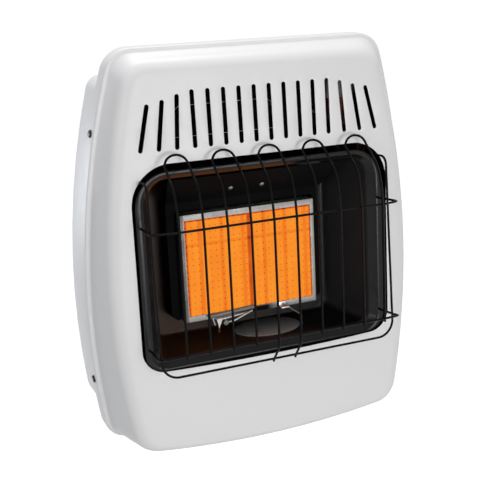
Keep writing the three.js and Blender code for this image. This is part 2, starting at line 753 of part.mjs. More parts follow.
function backPlate() {
  const plate = sheet(cabinetOutline(SHEET + SEAT), [], PLATE_FRONT_Y, PLATE_BACK_Y);
  const slots = [-HOOK_X, HOOK_X].map((x) => block(
    x - HOOK_HALF - FIT, x + HOOK_HALF + FIT, PLATE_FRONT_Y - 5, PLATE_BACK_Y + 5,
    HOOK_Z - BRACKET_PLATE - HOOK_RISE - FIT, HOOK_Z + SEAT,
  ));
  const reach = WALL_SCREW_HEAD_R + 1;
  const screwHoles = WALL_SCREWS.map(([x, z]) => pin(vec(x, PLATE_FRONT_Y - 5, z), vec(x, 5, z), reach, 16));
  return cut(plate, ...slots, ...screwHoles);
}

function wallBracket() {
  const lip = PLATE_FRONT_Y - HOOK_GAP;
  const plate = block(-BRACKET_HALF, BRACKET_HALF, -BRACKET_PLATE, 0,
    -BRACKET_HALF_HEIGHT, BRACKET_HALF_HEIGHT);
  const hooks = [-HOOK_X, HOOK_X].flatMap((x) => [
    block(x - HOOK_HALF, x + HOOK_HALF, lip - BRACKET_PLATE, -BRACKET_PLATE / 2,
      HOOK_Z - BRACKET_PLATE, HOOK_Z),
    block(x - HOOK_HALF, x + HOOK_HALF, lip - BRACKET_PLATE, lip, HOOK_Z - BRACKET_PLATE, HOOK_Z + HOOK_RISE),
  ]);
  const holes = WALL_SCREWS.map(([x, z]) => pin(vec(x, -10, z), vec(x, 10, z), WALL_SCREW_R + FIT, 12));
  return cut(join(plate, ...hooks), ...holes);
}

// low head on the bracket; the shank ends at the wall's surface
function wallScrew(x, z) {
  const headY = -BRACKET_PLATE - SEAT;
  const shank = pin(vec(x, -SEAT, z), vec(x, headY, z), WALL_SCREW_R, 12);
  const head = pin(vec(x, headY, z), vec(x, headY - WALL_SCREW_HEAD, z), WALL_SCREW_HEAD_R, 12);
  return join(shank, head);
}

function sideScrew(side, z) {
  const shank = pin(sidePoint(side, z, 9), sidePoint(side, z, -SEAT - 0.5), SIDE_SCREW_SHANK_R, 12);
  const head = pin(sidePoint(side, z, -SEAT), sidePoint(side, z, -SEAT - 2), SIDE_SCREW_HEAD_R, 16,
    SIDE_SCREW_HEAD_R - 1);
  return join(shank, head);
}

function rearDeflector() {
  const half = DEFLECTOR_HALF;
  const flat = half - DEFLECTOR_SHOULDER;
  const side = DEFLECTOR_TOP - DEFLECTOR_FALL;
  const outline = [[-half, DEFLECTOR_LOW], [half, DEFLECTOR_LOW], [half, side], [flat, DEFLECTOR_TOP],
    [-flat, DEFLECTOR_TOP], [-half, side]].map(([x, z]) => new THREE.Vector2(x, z));
  const front = PLATE_FRONT_Y - SEAT - 2;
  return sheet(outline, [], front, PLATE_FRONT_Y - SEAT);
}

// ---- firebox ---------------------------------------------------------------------------

// rounded frame of the leaning frame, as a ring at a depth
function frameRing(half, bottom, top, topCorner, bottomCorner, d) {
  return roundedFrame(half, bottom, top, topCorner, bottomCorner).map((p) => vec(p.x, d, p.y));
}

const TUB_GAP = 0.4;
const TUB_HALF = LIP_HALF + 2 * SHEET + TUB_GAP;
const TUB_TOP = LIP_TOP + 2 * SHEET + TUB_GAP;
const TUB_BOTTOM = LIP_BOTTOM - 2 * SHEET - TUB_GAP;
const TUB_CORNER = BEZEL_CORNER - LIP_STEP + 2 * SHEET + TUB_GAP;
const TUB_LOW_CORNER = BEZEL_BOTTOM_CORNER - LIP_STEP * 0.5 + 2 * SHEET + TUB_GAP;
const TUB_FRONT_D = LIP_D + 1.6;
const TUB_COLLAR_D = LIP_D + LIP_DEPTH + 1;   // the tub is straight up to here, then tapers
const TUB_RISE = (TUB_BACK_D - TUB_COLLAR_D) * Math.tan(LEAN);

// height of the tub's floor at a depth: it is level when the heater hangs on the wall
function floorHeight(d) {
  return TUB_BOTTOM + SHEET + (d - TUB_COLLAR_D) * Math.tan(LEAN);
}

function guardSlits() {
  const slits = [];
  [-1, 1].forEach((side) => {
    const x0 = side * HOLE_X;
    slits.push(block(x0 - 1.2, x0 + 1.2, 0, BEZEL_D + 3.9, LOWER_WIRE.holeH, UPPER_WIRE.holeH));
    [LOWER_WIRE.holeH, UPPER_WIRE.holeH].forEach((h) => {
      slits.push(pin(vec(x0, 0, h), vec(x0, 14, h), WIRE_R + FIT, 12));
    });
  });
  return slits;
}

function fireboxBezel() {
  const corner = (inset) => BEZEL_CORNER - inset;
  const low = (inset) => BEZEL_BOTTOM_CORNER - inset * 0.5;
  const outer = (inset, d) => frameRing(BEZEL_HALF - inset, BEZEL_BOTTOM + inset, BEZEL_TOP - inset,
    corner(inset), low(inset), d);
  const flange = (extra, d) => frameRing(BEZEL_HALF - BEZEL_FLANGE + extra, BEZEL_BOTTOM + 6 - extra,
    BEZEL_TOP - 5 + extra, corner(BEZEL_FLANGE), low(BEZEL_FLANGE), d);
  const lip = (extra, d) => frameRing(LIP_HALF + extra, LIP_BOTTOM - extra, LIP_TOP + extra,
    corner(LIP_STEP) + extra, low(LIP_STEP) + extra, d);
  const body = band([
    lip(0, LIP_D + LIP_DEPTH),
    lip(0, LIP_D),
    flange(0, BEZEL_D),
    outer(0, BEZEL_D),
    outer(0, BEZEL_D + 5),
    outer(SHEET, BEZEL_D + 5),
    outer(SHEET, BEZEL_D + SHEET),
    flange(SHEET * 0.6, BEZEL_D + SHEET),
    lip(SHEET, LIP_D + SHEET * 0.4),
    lip(SHEET, LIP_D + LIP_DEPTH),
  ]);
  return cut(body, ...guardSlits());
}

function fireboxShell() {
  const ring = (inset, d) => {
    const t = Math.max(d - TUB_COLLAR_D, 0) / (TUB_BACK_D - TUB_COLLAR_D);
    const half = THREE.MathUtils.lerp(TUB_HALF, TUB_BACK_HALF, t);
    const bottom = TUB_BOTTOM + TUB_RISE * t;
    return frameRing(half - inset, bottom + inset, TUB_TOP - inset, TUB_CORNER - inset,
      TUB_LOW_CORNER - inset, d);
  };
  const frontInner = ring(SHEET, TUB_FRONT_D);
  const frontOuter = ring(0, TUB_FRONT_D);
  const backOuter = ring(0, TUB_BACK_D + SHEET);
  const backInner = ring(SHEET, TUB_BACK_D);
  const [collarInner, collarOuter] = [ring(SHEET, TUB_COLLAR_D), ring(0, TUB_COLLAR_D)];
  const rings = [backInner, collarInner, frontInner, frontOuter, collarOuter, backOuter];
  const triangles = [];
  for (let i = 0; i + 1 < rings.length; i++) pushStrip(triangles, rings[i], rings[i + 1]);
  const flat = backOuter.map((p) => new THREE.Vector2(p.x, p.z));
  fill(flat).forEach(([i, j, k]) => {
    triangles.push(backOuter[i], backOuter[k], backOuter[j]);
    triangles.push(backInner[i], backInner[j], backInner[k]);
  });
  const port = pin(vec(0, TUB_BACK_D - 8, DUCT_H), vec(0, TUB_BACK_D + 8, DUCT_H), PORT_R + FIT, 20);
  const riser = pin(vec(PILOT_NUT_X, PILOT_TUBE_D, TUB_BOTTOM - 20),
    vec(PILOT_NUT_X, PILOT_TUBE_D, TUB_BOTTOM + 20), THIN_TUBE_R + FIT, 12);
  const lead = pin(vec(ELECTRODE_X, PILOT_D, TUB_BOTTOM - 20), vec(ELECTRODE_X, PILOT_D, TUB_BOTTOM + 20),
    LEAD_R + FIT, 12);
  return cut(fromTriangles(triangles), port, riser, lead);
}

// folded channel that carries the tub on the back plate
function fireboxRail(side) {
  const seatY = PLATE_FRONT_Y - SEAT;
  const [low, high] = [RAIL_LOW, RAIL_HIGH].map((h) => lean(0, TUB_BACK_D + SHEET + SEAT, h));
  const wedge = new THREE.Shape([[low.y, low.z], [seatY, low.z], [seatY, high.z], [high.y, high.z]]
    .map(([y, z]) => new THREE.Vector2(y, z)));
  const x0 = side * RAIL_X - RAIL_HALF;
  const body = new THREE.ExtrudeGeometry(wedge, { depth: 2 * RAIL_HALF, bevelEnabled: false });
  body.applyMatrix4(new THREE.Matrix4().makeBasis(vec(0, 1, 0), vec(0, 0, 1), vec(1, 0, 0)));
  body.translate(x0, 0, 0);
  const hollow = block(x0 + SHEET, x0 + 2 * RAIL_HALF - SHEET, low.y - 9, seatY - SHEET,
    low.z - 9, high.z + 9);
  const duct = block(x0 - 9, x0 + 2 * RAIL_HALF + 9, DUCT_D - 60, DUCT_D + DUCT_DEPTH + 1,
    DUCT_H - DUCT_HALF_H - 1, DUCT_H + DUCT_HALF_H + 1).applyMatrix4(leaning);
  return cut(body, hollow, duct);
}

// oval cover plate on the tub's floor
function floorDisc() {
  const middleD = LIP_D + LIP_DEPTH + DISC_FRONT_ROOM + DISC_HALF_DEPTH;
  const seat = floorHeight(middleD) + SEAT;
  const disc = turned([[0, 0], [DISC_HALF, 0], [DISC_HALF, 1], [DISC_HALF - 2, 2], [0, 2]], 28);
  disc.scale(1, DISC_HALF_DEPTH / DISC_HALF, 1);
  disc.rotateX(LEAN);
  return disc.translate(DISC_X, middleD, seat);
}

// ---- burner ----------------------------------------------------------------------------

function rectRing(half, bottom, top, d) {
  return [vec(-half, d, bottom), vec(half, d, bottom), vec(half, d, top), vec(-half, d, top)];
}

function rectBand(sections) {
  return band(sections.map(([grow, d, half, bottom, top]) => (
    rectRing(half + grow, bottom - grow, top + grow, d))));
}

function plaqueFrame() {
  const rim = (grow, d) => [grow, d, FRAME_HALF, FRAME_BOTTOM, FRAME_TOP];
  const open = (d) => [-FRAME_LIP, d, TILES_HALF, TILES_BOTTOM, TILES_TOP];
  return rectBand([
    open(FRAME_D),
    rim(0, FRAME_D),
    rim(0, FRAME_BACK_D),
    rim(-1, FRAME_BACK_D),
    rim(-1, FRAME_D + 1),
    open(FRAME_D + 1),
  ]);
}

function plaque(side) {
  const inner = TILE_GAP / 2;
  const x0 = side < 0 ? -TILES_HALF : inner;
  return block(x0, x0 + TILE_WIDTH, TILE_D, TILE_D + TILE_THICK, TILES_BOTTOM, TILES_TOP);
}

function plaqueGasket() {
  const at = (grow, d) => [grow, d, TILES_HALF, TILES_BOTTOM, TILES_TOP];
  return rectBand([at(-9, GASKET_D), at(0, GASKET_D), at(0, GASKET_D + GASKET), at(-9, GASKET_D + GASKET)]);
}

// mixture box behind the tiles, with the port of the duct in its back
function burnerPlenum() {
  const outer = block(-TILES_HALF, TILES_HALF, PLENUM_D, PLENUM_BACK_D, TILES_BOTTOM, TILES_TOP);
  const room = block(-TILES_HALF + SHEET, TILES_HALF - SHEET, PLENUM_D - 5, PLENUM_BACK_D - SHEET,
    TILES_BOTTOM + SHEET, TILES_TOP - SHEET);
  const port = pin(vec(0, PLENUM_BACK_D - 8, DUCT_H), vec(0, PLENUM_BACK_D + 8, DUCT_H), PORT_R + FIT, 20);
  return cut(outer, room, port);
}

// black surround of the burner, fixed to the tub's back; the burner stands out of its front,
// and between its side strips it is open below
function burnerHousing() {
  const back = TUB_BACK_D - SEAT;
  const ring = (inset, d) => roundedFrame(HOUSING_HALF - inset, HOUSING_BOTTOM + inset, HOUSING_TOP - inset,
    3 - inset, HOUSING_CORNER - inset, 4).map((p) => vec(p.x, d, p.y));
  const rings = [ring(SHEET, HOUSING_D + SHEET), ring(SHEET, back), ring(0, back), ring(0, HOUSING_D)];
  const triangles = [];
  for (let i = 0; i + 1 < rings.length; i++) pushStrip(triangles, rings[i + 1], rings[i]);
  const flat = rings[3].map((p) => new THREE.Vector2(p.x, p.z));
  fill(flat).forEach(([i, j, k]) => {
    triangles.push(rings[3][i], rings[3][j], rings[3][k]);
    triangles.push(rings[0][i], rings[0][k], rings[0][j]);
  });
  const half = FRAME_HALF + HOUSING_GAP;
  const open = block(-half, half, HOUSING_D - 5, FRAME_BACK_D + HOUSING_GAP, HOUSING_BOTTOM - 5,
    FRAME_TOP + HOUSING_GAP);
  return cut(fromTriangles(triangles), open);
}

// sloping reflector from the lip down to the top of the surround
function hoodSlope(x, t, lift) {
  const backD = HOUSING_D - SEAT - SHEET;
  const backH = HOUSING_TOP - 1;
  const slope = Math.atan2(HOOD_FRONT_H - backH, backD - HOOD_FRONT_D);
  const d = THREE.MathUtils.lerp(HOOD_FRONT_D, backD, t) + lift * Math.sin(slope);
  const h = THREE.MathUtils.lerp(HOOD_FRONT_H, backH, t) + lift * Math.cos(slope);
  return vec(x, d, h);
}

function deflectorHood() {
  const corners = (lift) => [
    hoodSlope(-HOUSING_HALF, 1, lift), hoodSlope(HOUSING_HALF, 1, lift),
    hoodSlope(HOOD_FRONT_HALF, 0, lift), hoodSlope(-HOOD_FRONT_HALF, 0, lift),
  ];
  const under = corners(0);
  const over = corners(SHEET);
  const triangles = [];
  triangles.push(under[0], under[1], under[2], under[0], under[2], under[3]);
  triangles.push(over[0], over[2], over[1], over[0], over[3], over[2]);
  pushStrip(triangles, under, over);
  const body = fromTriangles(triangles);
  const holes = RIVET_X.map((x) => pin(hoodSlope(x, RIVET_T, -4), hoodSlope(x, RIVET_T, 5), 1.8 + FIT, 10));
  return cut(body, ...holes);
}

function hoodRivet(x) {
  const shank = pin(hoodSlope(x, RIVET_T, -SEAT - 0.2), hoodSlope(x, RIVET_T, SHEET + SEAT), 1.8, 10);
  const tail = pin(hoodSlope(x, RIVET_T, SHEET + SEAT), hoodSlope(x, RIVET_T, SHEET + SEAT + 1), 3, 10);
  const dome = pin(hoodSlope(x, RIVET_T, -SEAT), hoodSlope(x, RIVET_T, -SEAT - 1.6),
    RIVET_R, 14, RIVET_R * 0.6);
  return join(shank, tail, dome);
}

// ---- mixing duct, injector and pilot ---------------------------------------------------

const DUCT_D = TUB_BACK_D + SHEET + SEAT;

function mixingDuct() {
  const outer = block(DUCT_CLOSED_X, DUCT_END_X, DUCT_D, DUCT_D + DUCT_DEPTH,
    DUCT_H - DUCT_HALF_H, DUCT_H + DUCT_HALF_H);
  const collar = pin(vec(0, PLENUM_BACK_D - SHEET, DUCT_H), vec(0, DUCT_D + 1, DUCT_H), PORT_R, 20);
  const bore = pin(vec(0, PLENUM_BACK_D - 9, DUCT_H), vec(0, DUCT_D + 3, DUCT_H), PORT_R - SHEET, 20);
  const inside = block(DUCT_CLOSED_X + SHEET, DUCT_END_X + 5, DUCT_D + SHEET, DUCT_D + DUCT_DEPTH - SHEET,
    DUCT_H - DUCT_HALF_H + SHEET, DUCT_H + DUCT_HALF_H - SHEET);
  return cut(join(outer, collar), bore, inside);
}

const INJECTOR_X = DUCT_END_X + INJECTOR_GAP;
const INJECTOR_D = DUCT_D + DUCT_DEPTH / 2;
const HOLDER_X = INJECTOR_X + 12;

function injector() {
  const nose = pin(vec(INJECTOR_X, 0, 0), vec(INJECTOR_X + 5, 0, 0), 2.4, 12, 4);
  const hex = pin(vec(INJECTOR_X + 5, 0, 0), vec(HOLDER_X - SEAT, 0, 0), 4.6, 6);
  const bore = pin(vec(INJECTOR_X - 2, 0, 0), vec(INJECTOR_X + 20, 0, 0), 1, 8);
  return cut(join(nose, hex), bore).translate(0, INJECTOR_D, DUCT_H);
}

// elbow block that carries the injector on the back plate
function injectorHolder() {
  const seatY = PLATE_FRONT_Y - SEAT;
  const at = lean(0, INJECTOR_D, DUCT_H);
  const body = block(HOLDER_X, HOLDER_X + 16, at.y - 8, at.y + 6, at.z - 8, at.z + 8);
  const foot = block(HOLDER_X + 2, HOLDER_X + 14, at.y, seatY, at.z - 14, at.z + 6);
  return join(body, foot);
}

// triangle in the leaning frame's d and h, as thick as the brackets' sheet
function sideGusset(x, corners) {
  const shape = new THREE.Shape(corners.map(([d, h]) => new THREE.Vector2(d, h)));
  const body = new THREE.ExtrudeGeometry(shape, { depth: BRACKET_SHEET, bevelEnabled: false });
  body.applyMatrix4(new THREE.Matrix4().makeBasis(vec(0, 1, 0), vec(0, 0, 1), vec(1, 0, 0)));
  return body.translate(x, 0, 0);
}

// triangle that hangs from the front edge of the pilot's shelf
function frontGusset(d, corners) {
  const shape = new THREE.Shape(corners.map(([x, h]) => new THREE.Vector2(x, h)));
  const body = new THREE.ExtrudeGeometry(shape, { depth: BRACKET_SHEET, bevelEnabled: false });
  body.applyMatrix4(new THREE.Matrix4().makeBasis(vec(1, 0, 0), vec(0, 0, 1), vec(0, -1, 0)));
  return body.translate(0, d + BRACKET_SHEET, 0);
}

// tapered shelf on the plaque frame's lower border, with a turned-down corner
function pilotBracket() {
  const seat = FRAME_D - SEAT;
  const front = seat - SHELF_OUT;
  const ear = PILOT_NUT_X - 17.5;
  const left = PILOT_NUT_X - 14;
  const corner = PILOT_NUT_X - 6;
  const right = PILOT_LEFT_X + PILOT_LENGTH - 1;
  const outline = [[ear, seat], [ear, seat - 5], [left, seat - 5], [left, front], [corner, front],
    [right, seat - 2], [right, seat]];
  const shape = new THREE.Shape(outline.map(([x, d]) => new THREE.Vector2(x, d)));
  const shelf = new THREE.ExtrudeGeometry(shape, { depth: BRACKET_SHEET, bevelEnabled: false });
  shelf.translate(0, 0, SHELF_H - BRACKET_SHEET);
  const side = sideGusset(ear, [[seat - 5, SHELF_H], [seat, SHELF_H], [front, SHELF_H - 7.5]]);
  const tab = frontGusset(front, [[left, SHELF_H], [corner, SHELF_H], [left + 2.5, SHELF_H - 13]]);
  const hole = pin(vec(PILOT_NUT_X, PILOT_D, SHELF_H - 5), vec(PILOT_NUT_X, PILOT_D, SHELF_H + 5),
    PILOT_STUB_R + FIT, 14);
  return cut(join(shelf, side, tab), hole);
}

// burner tube with a stub through the shelf and a nut for its gas tube
function pilotBurner() {
  const right = vec(PILOT_LEFT_X + PILOT_LENGTH, PILOT_D, PILOT_LEFT_H + PILOT_RISE);
  const tube = pin(vec(PILOT_LEFT_X, PILOT_D, PILOT_LEFT_H), right, PILOT_R, 14);
  const stub = pin(vec(PILOT_NUT_X, PILOT_D, PILOT_NUT_H), vec(PILOT_NUT_X, PILOT_D, PILOT_LEFT_H),
    PILOT_STUB_R, 14);
  const nut = pin(vec(PILOT_NUT_X, PILOT_D - PILOT_NUT_HALF, PILOT_NUT_H),
    vec(PILOT_NUT_X, PILOT_D + PILOT_NUT_HALF, PILOT_NUT_H), PILOT_NUT_R, 14);
  return join(tube, stub, nut);
}

// probe from the pilot's nut up to the right end of its burner tube
function thermocouple() {
  const start = PILOT_NUT_X + PILOT_NUT_R + SEAT;
  const tipH = PILOT_LEFT_H + PILOT_RISE - PILOT_R - PROBE_R - 0.8;
  const points = [
    vec(start, PILOT_D - 2, PILOT_NUT_H),
    vec(start + 8, PILOT_D - 4, PILOT_NUT_H + 1.5),
    vec(PILOT_LEFT_X + PILOT_LENGTH - 2, PILOT_D + 0.5, tipH),
  ];
  return wire(points, PROBE_R, 8);
}

function pilotTube() {
  const knee = lean(PILOT_NUT_X, PILOT_D - 4, PILOT_NUT_H - 63);
  const portZ = VALVE_BOTTOM + 12;
  const riserX = INLET_X - PILOT_TUBE_INSET;
  const corners = [
    lean(PILOT_NUT_X, PILOT_D + PILOT_NUT_HALF + SEAT, PILOT_NUT_H),
    lean(PILOT_NUT_X, PILOT_TUBE_D, PILOT_NUT_H),
    lean(PILOT_NUT_X, PILOT_TUBE_D, TUB_BOTTOM - 12),
    knee,
    vec(VALVE_X - 34, knee.y, knee.z),
    vec(riserX, PILOT_TUBE_Y, knee.z + 34),
    vec(riserX, PILOT_TUBE_Y, portZ),
    vec(VALVE_X + VALVE_HALF_X + SEAT, PILOT_TUBE_Y, portZ),
  ];
  return wire(rounded(corners, 9, 3), THIN_TUBE_R, 6);
}

function electrodeBracket() {
  const seat = FRAME_D - SEAT;
  const right = ELECTRODE_X - ELECTRODE_SHELF_INSET;
  const left = right - ELECTRODE_SHELF_WIDTH;
  const low = SHELF_H - BRACKET_SHEET;
  const shelf = block(left, right, seat - SHELF_OUT + 1.5, seat, low, SHELF_H);
  const tab = block(left, right, seat - BRACKET_SHEET, seat, low, SHELF_H + 5);
  return join(shelf, tab);
}

// wire that lies on its shelf, dips and runs down to the tub's floor
function sparkElectrode() {
  const shelfEnd = ELECTRODE_X - ELECTRODE_SHELF_INSET;
  const onShelf = SHELF_H + ELECTRODE_R + SEAT;
  const points = [
    vec(shelfEnd - 6, PILOT_D, onShelf),
    vec(shelfEnd + 1.2, PILOT_D, onShelf),
    vec(shelfEnd + 2.6, PILOT_D, onShelf - 4.5),
    vec(ELECTRODE_X - 2.5, PILOT_D, ELECTRODE_FOOT_H + 11),
    vec(ELECTRODE_X, PILOT_D, ELECTRODE_FOOT_H + 8.5),
    vec(ELECTRODE_X, PILOT_D, ELECTRODE_FOOT_H),
  ];
  return wire(points, ELECTRODE_R, 6);
}

// ---- gas train -------------------------------------------------------------------------

const VALVE_TOP = CABINET_TOP - SHEET - SEAT;
const VALVE_BOTTOM = VALVE_TOP - VALVE_HEIGHT;
const NUT_Z = CABINET_TOP + SEAT;
const BOSS_TOP = NUT_Z + NUT_HEIGHT + 1;

function gasValve() {
  const body = block(VALVE_X - VALVE_HALF_X, VALVE_X + VALVE_HALF_X, VALVE_Y - VALVE_HALF_Y,
    VALVE_Y + VALVE_HALF_Y, VALVE_BOTTOM, VALVE_TOP);
  const boss = pin(vec(VALVE_X, VALVE_Y, VALVE_TOP - 2), vec(VALVE_X, VALVE_Y, BOSS_TOP), VALVE_BOSS_R, 20);
  const bore = pin(vec(VALVE_X, VALVE_Y, VALVE_TOP - 16), vec(VALVE_X, VALVE_Y, BOSS_TOP + 5),
    STEM_R + FIT, 16);
  const [port, inlet] = [-8, 10].map((x) => pin(vec(VALVE_X + x, VALVE_Y, VALVE_BOTTOM - 6),
    vec(VALVE_X + x, VALVE_Y, VALVE_BOTTOM + 2), 6, 12));
  return cut(join(body, boss, port, inlet), bore);
}

function valveNut() {
  const outer = pin(vec(VALVE_X, VALVE_Y, NUT_Z), vec(VALVE_X, VALVE_Y, NUT_Z + NUT_HEIGHT), 11, 6);
  const bore = pin(vec(VALVE_X, VALVE_Y, NUT_Z - 5), vec(VALVE_X, VALVE_Y, NUT_Z + 9),
    VALVE_BOSS_R + SEAT, 20);
  return cut(outer, bore);
}

const KNOB_Z = CABINET_TOP + KNOB_LIFT + PRESS;
const WASHER_Z = KNOB_Z - WASHER_HEIGHT - SEAT;

// spring cup that the knob presses down without turning it
function pressWasher() {
  const outer = pin(vec(VALVE_X, VALVE_Y, WASHER_Z), vec(VALVE_X, VALVE_Y, WASHER_Z + WASHER_HEIGHT), 8, 20);
  const bore = pin(vec(VALVE_X, VALVE_Y, WASHER_Z - 5), vec(VALVE_X, VALVE_Y, WASHER_Z + 9),
    STEM_R + FIT, 16);
  return cut(outer, bore);
}

// stem with a flat on its upper end
function valveStem() {
  const low = VALVE_TOP - 16 + PRESS + 1;
  const shaft = pin(vec(VALVE_X, VALVE_Y, low), vec(VALVE_X, VALVE_Y, KNOB_Z + 12), STEM_R, 16);
  const flat = block(VALVE_X - 5, VALVE_X + 5, VALVE_Y + 1.8, VALVE_Y + 6, KNOB_Z + 2, KNOB_Z + 14);
  return cut(shaft, flat);
}

// knob with a finger bar across its top
function controlKnob() {
  const skirt = turned([[0, 0], [KNOB_R, 0], [KNOB_R, 3], [KNOB_R - 2.4, 5], [KNOB_R - 3, KNOB_HEIGHT - 8],
    [KNOB_R - 4.5, KNOB_HEIGHT - 6.5], [0, KNOB_HEIGHT - 6.5]], 28);
  const bar = block(-KNOB_R + 2, KNOB_R - 2, -3.4, 3.4, 3, KNOB_HEIGHT);
  const bore = pin(vec(0, 0, -2), vec(0, 0, 12.4), STEM_R + SEAT, 16);
  const key = block(-4, 4, 1.8 + SEAT, 5, 2.6, 13);
  const body = cut(join(skirt, bar), bore);
  return join(body, key).translate(VALVE_X, VALVE_Y, KNOB_Z);
}

function knobSpring() {
  return coil(5.2, 0.45, 2.5, BOSS_TOP + SEAT, WASHER_Z - SEAT).translate(VALVE_X, VALVE_Y, 0);
}

const IGNITER_TOP = CABINET_TOP + SEAT + 3;
const IGNITER_BORE = 19;

function igniterBody() {
  const low = IGNITER_TOP - IGNITER_LENGTH;
  const body = turned([[0, low], [4, low], [4, low + 4], [IGNITER_R, low + 6],
    [IGNITER_R, CABINET_TOP + SEAT],
    [IGNITER_FLANGE_R, CABINET_TOP + SEAT], [IGNITER_FLANGE_R - 1, IGNITER_TOP], [0, IGNITER_TOP]]);
  const bore = pin(vec(0, 0, IGNITER_TOP - IGNITER_BORE), vec(0, 0, IGNITER_TOP + 5), BUTTON_R + FIT, 20);
  return cut(body, bore).translate(IGNITER_X, VALVE_Y, 0);
}

function igniterNut() {
  const top = CABINET_TOP - SHEET - SEAT;
  const outer = pin(vec(0, 0, top - 4), vec(0, 0, top), IGNITER_FLANGE_R, 6);
  const bore = pin(vec(0, 0, top - 9), vec(0, 0, top + 5), IGNITER_R + SEAT, 20);
  return cut(outer, bore).translate(IGNITER_X, VALVE_Y, 0);
}

const BUTTON_LOW = IGNITER_TOP - IGNITER_BORE + PRESS + 5;

function igniterSpring() {
  const spring = coil(3.8, 0.45, 4, IGNITER_TOP - IGNITER_BORE + SEAT, BUTTON_LOW - SEAT);
  return spring.translate(IGNITER_X, VALVE_Y, 0);
}

function igniterButton() {
  const low = BUTTON_LOW;
  const high = IGNITER_TOP + BUTTON_RISE;
  return turned([[0, low], [BUTTON_R, low], [BUTTON_R, high - 1.5], [BUTTON_R - 1.5, high], [0, high]])
    .translate(IGNITER_X, VALVE_Y, 0);
}

function igniterLead() {
  const low = IGNITER_TOP - IGNITER_LENGTH - SEAT;
  const end = lean(ELECTRODE_X, PILOT_D, ELECTRODE_FOOT_H - SEAT);
  const knee = lean(ELECTRODE_X, PILOT_D, ELECTRODE_FOOT_H - 32);
  const riserX = INLET_X - LEAD_INSET;
  const corners = [
    vec(IGNITER_X, VALVE_Y, low),
    vec(IGNITER_X, VALVE_Y, low - 20),
    vec(riserX, LEAD_Y, low - 50),
    vec(riserX, LEAD_Y, knee.z + 32),
    vec(riserX - 40, knee.y, knee.z),
    knee,
    end,
  ];
  return wire(rounded(corners, 9, 3), LEAD_R, 6);
}

function pressureRegulator() {
  const body = turned([[0, -12], [12, -12], [12, -7], [REGULATOR_R, -5], [REGULATOR_R, 5], [12, 7], [12, 13],
    [0, 13]]).rotateX(Math.PI / 2);
  const stub = pin(vec(0, 0, REGULATOR_R - 4), vec(0, 0, REGULATOR_R + 6), 6.5, 12);
  const neck = pin(vec(0, 0, 4 - REGULATOR_R), vec(0, 0, REGULATOR_FOOT - REGULATOR_Z), 6.5, 12);
  return join(body, stub, neck).translate(INLET_X, INLET_Y, REGULATOR_Z);
}

const REGULATOR_FOOT = CABINET_BOTTOM + SHEET + 6;

// threaded gas inlet that comes out under the cabinet
function inletFitting() {
  const z = CABINET_BOTTOM;
  const body = turned([[0, z - 16], [INLET_NECK_R, z - 16], [INLET_NECK_R, z + SHEET + SEAT],
    [11, z + SHEET + SEAT], [11, REGULATOR_FOOT - SEAT], [0, REGULATOR_FOOT - SEAT]]);
  const bore = pin(vec(0, 0, z - 20), vec(0, 0, z - 4), 5, 16);
  return cut(body, bore).translate(INLET_X, INLET_Y, 0);
}

function supplyTube() {
  const low = REGULATOR_Z + REGULATOR_R + 6 + SEAT;
  const high = VALVE_BOTTOM - 6 - SEAT;
  const corners = [
    vec(INLET_X, INLET_Y, low),
    vec(INLET_X, INLET_Y, low + 24),
    vec(INLET_X + 8, VALVE_Y, -60),
    vec(INLET_X + 8, VALVE_Y, high - 70),
    vec(VALVE_X + 10, VALVE_Y, high - 24),
    vec(VALVE_X + 10, VALVE_Y, high),
  ];
  return wire(rounded(corners, 14, 3), TUBE_R, 8);
}

function manifoldTube() {
  const high = VALVE_BOTTOM - 6 - SEAT;
  const at = lean(0, INJECTOR_D, DUCT_H);
  const foot = at.z + 8 + SEAT;
  const x = HOLDER_X + 8;
  const corners = [
    vec(VALVE_X - 8, VALVE_Y, high),
    vec(VALVE_X - 8, VALVE_Y, high - 22),
    vec(x, at.y - 1, high - 80),
    vec(x, at.y - 1, foot),
  ];
  return wire(rounded(corners, 16, 3), TUBE_R, 8);
}

// ---- guard -----------------------------------------------------------------------------

// side view of a hairpin leg: from the tangent of its loop down to its lower end
const LEG_PROFILE = [
  [LOOP_D - 3, LOOP_TOP_H - 12],
  [-35, 109.4],
  [-41.6, 100.5],
  [-45.5, 89.3],
  [-48.8, 74.3],
  [GUARD_D, UPPER_WIRE.h],
  [GUARD_D, LOWER_WIRE.h],
];

function hairpin(index) {
  const middle = (index - (HAIRPINS - 1) / 2) * 2 * LEG_PITCH;
  const half = LEG_PITCH / 2;
  const isMiddle = index === (HAIRPINS - 1) / 2;
  const leg = (side) => {
    const points = LEG_PROFILE.map(([d, h]) => lean(middle + side * half, d, h));
    if (isMiddle) {
      points.push(lean(middle + side * half, GUARD_D + 2, LEG_END_H - 8));
      points.push(lean(middle + side * half, FRAME_ROD_LOW_D - ROD_SEAT - 3.2, FRAME_ROD_H + 3.5));
      points.push(lean(middle + side * half, FRAME_ROD_LOW_D - ROD_SEAT + 0.6, FRAME_ROD_H - 2));
    } else {
      points.push(lean(middle + side * half, GUARD_D, LEG_END_H));
    }
    return points;
  };
  const loop = [];
  const [startD, startH] = LEG_PROFILE[0];
  for (let i = 1; i < 8; i++) {
    const angle = (Math.PI * i) / 8;
    const rise = Math.sin(angle);
    loop.push(lean(middle - half * Math.cos(angle) * LOOP_WAIST, startD + 3 * rise, startH + 12 * rise));
  }
  return wire([...leg(-1).reverse(), ...loop, ...leg(1)], WIRE_R);
}

// depth of the frame rod at a height
function rodDepth(h) {
  return THREE.MathUtils.mapLinear(h, ROD_PASS_H, FRAME_ROD_H, FRAME_ROD_UP_D, FRAME_ROD_LOW_D);
}

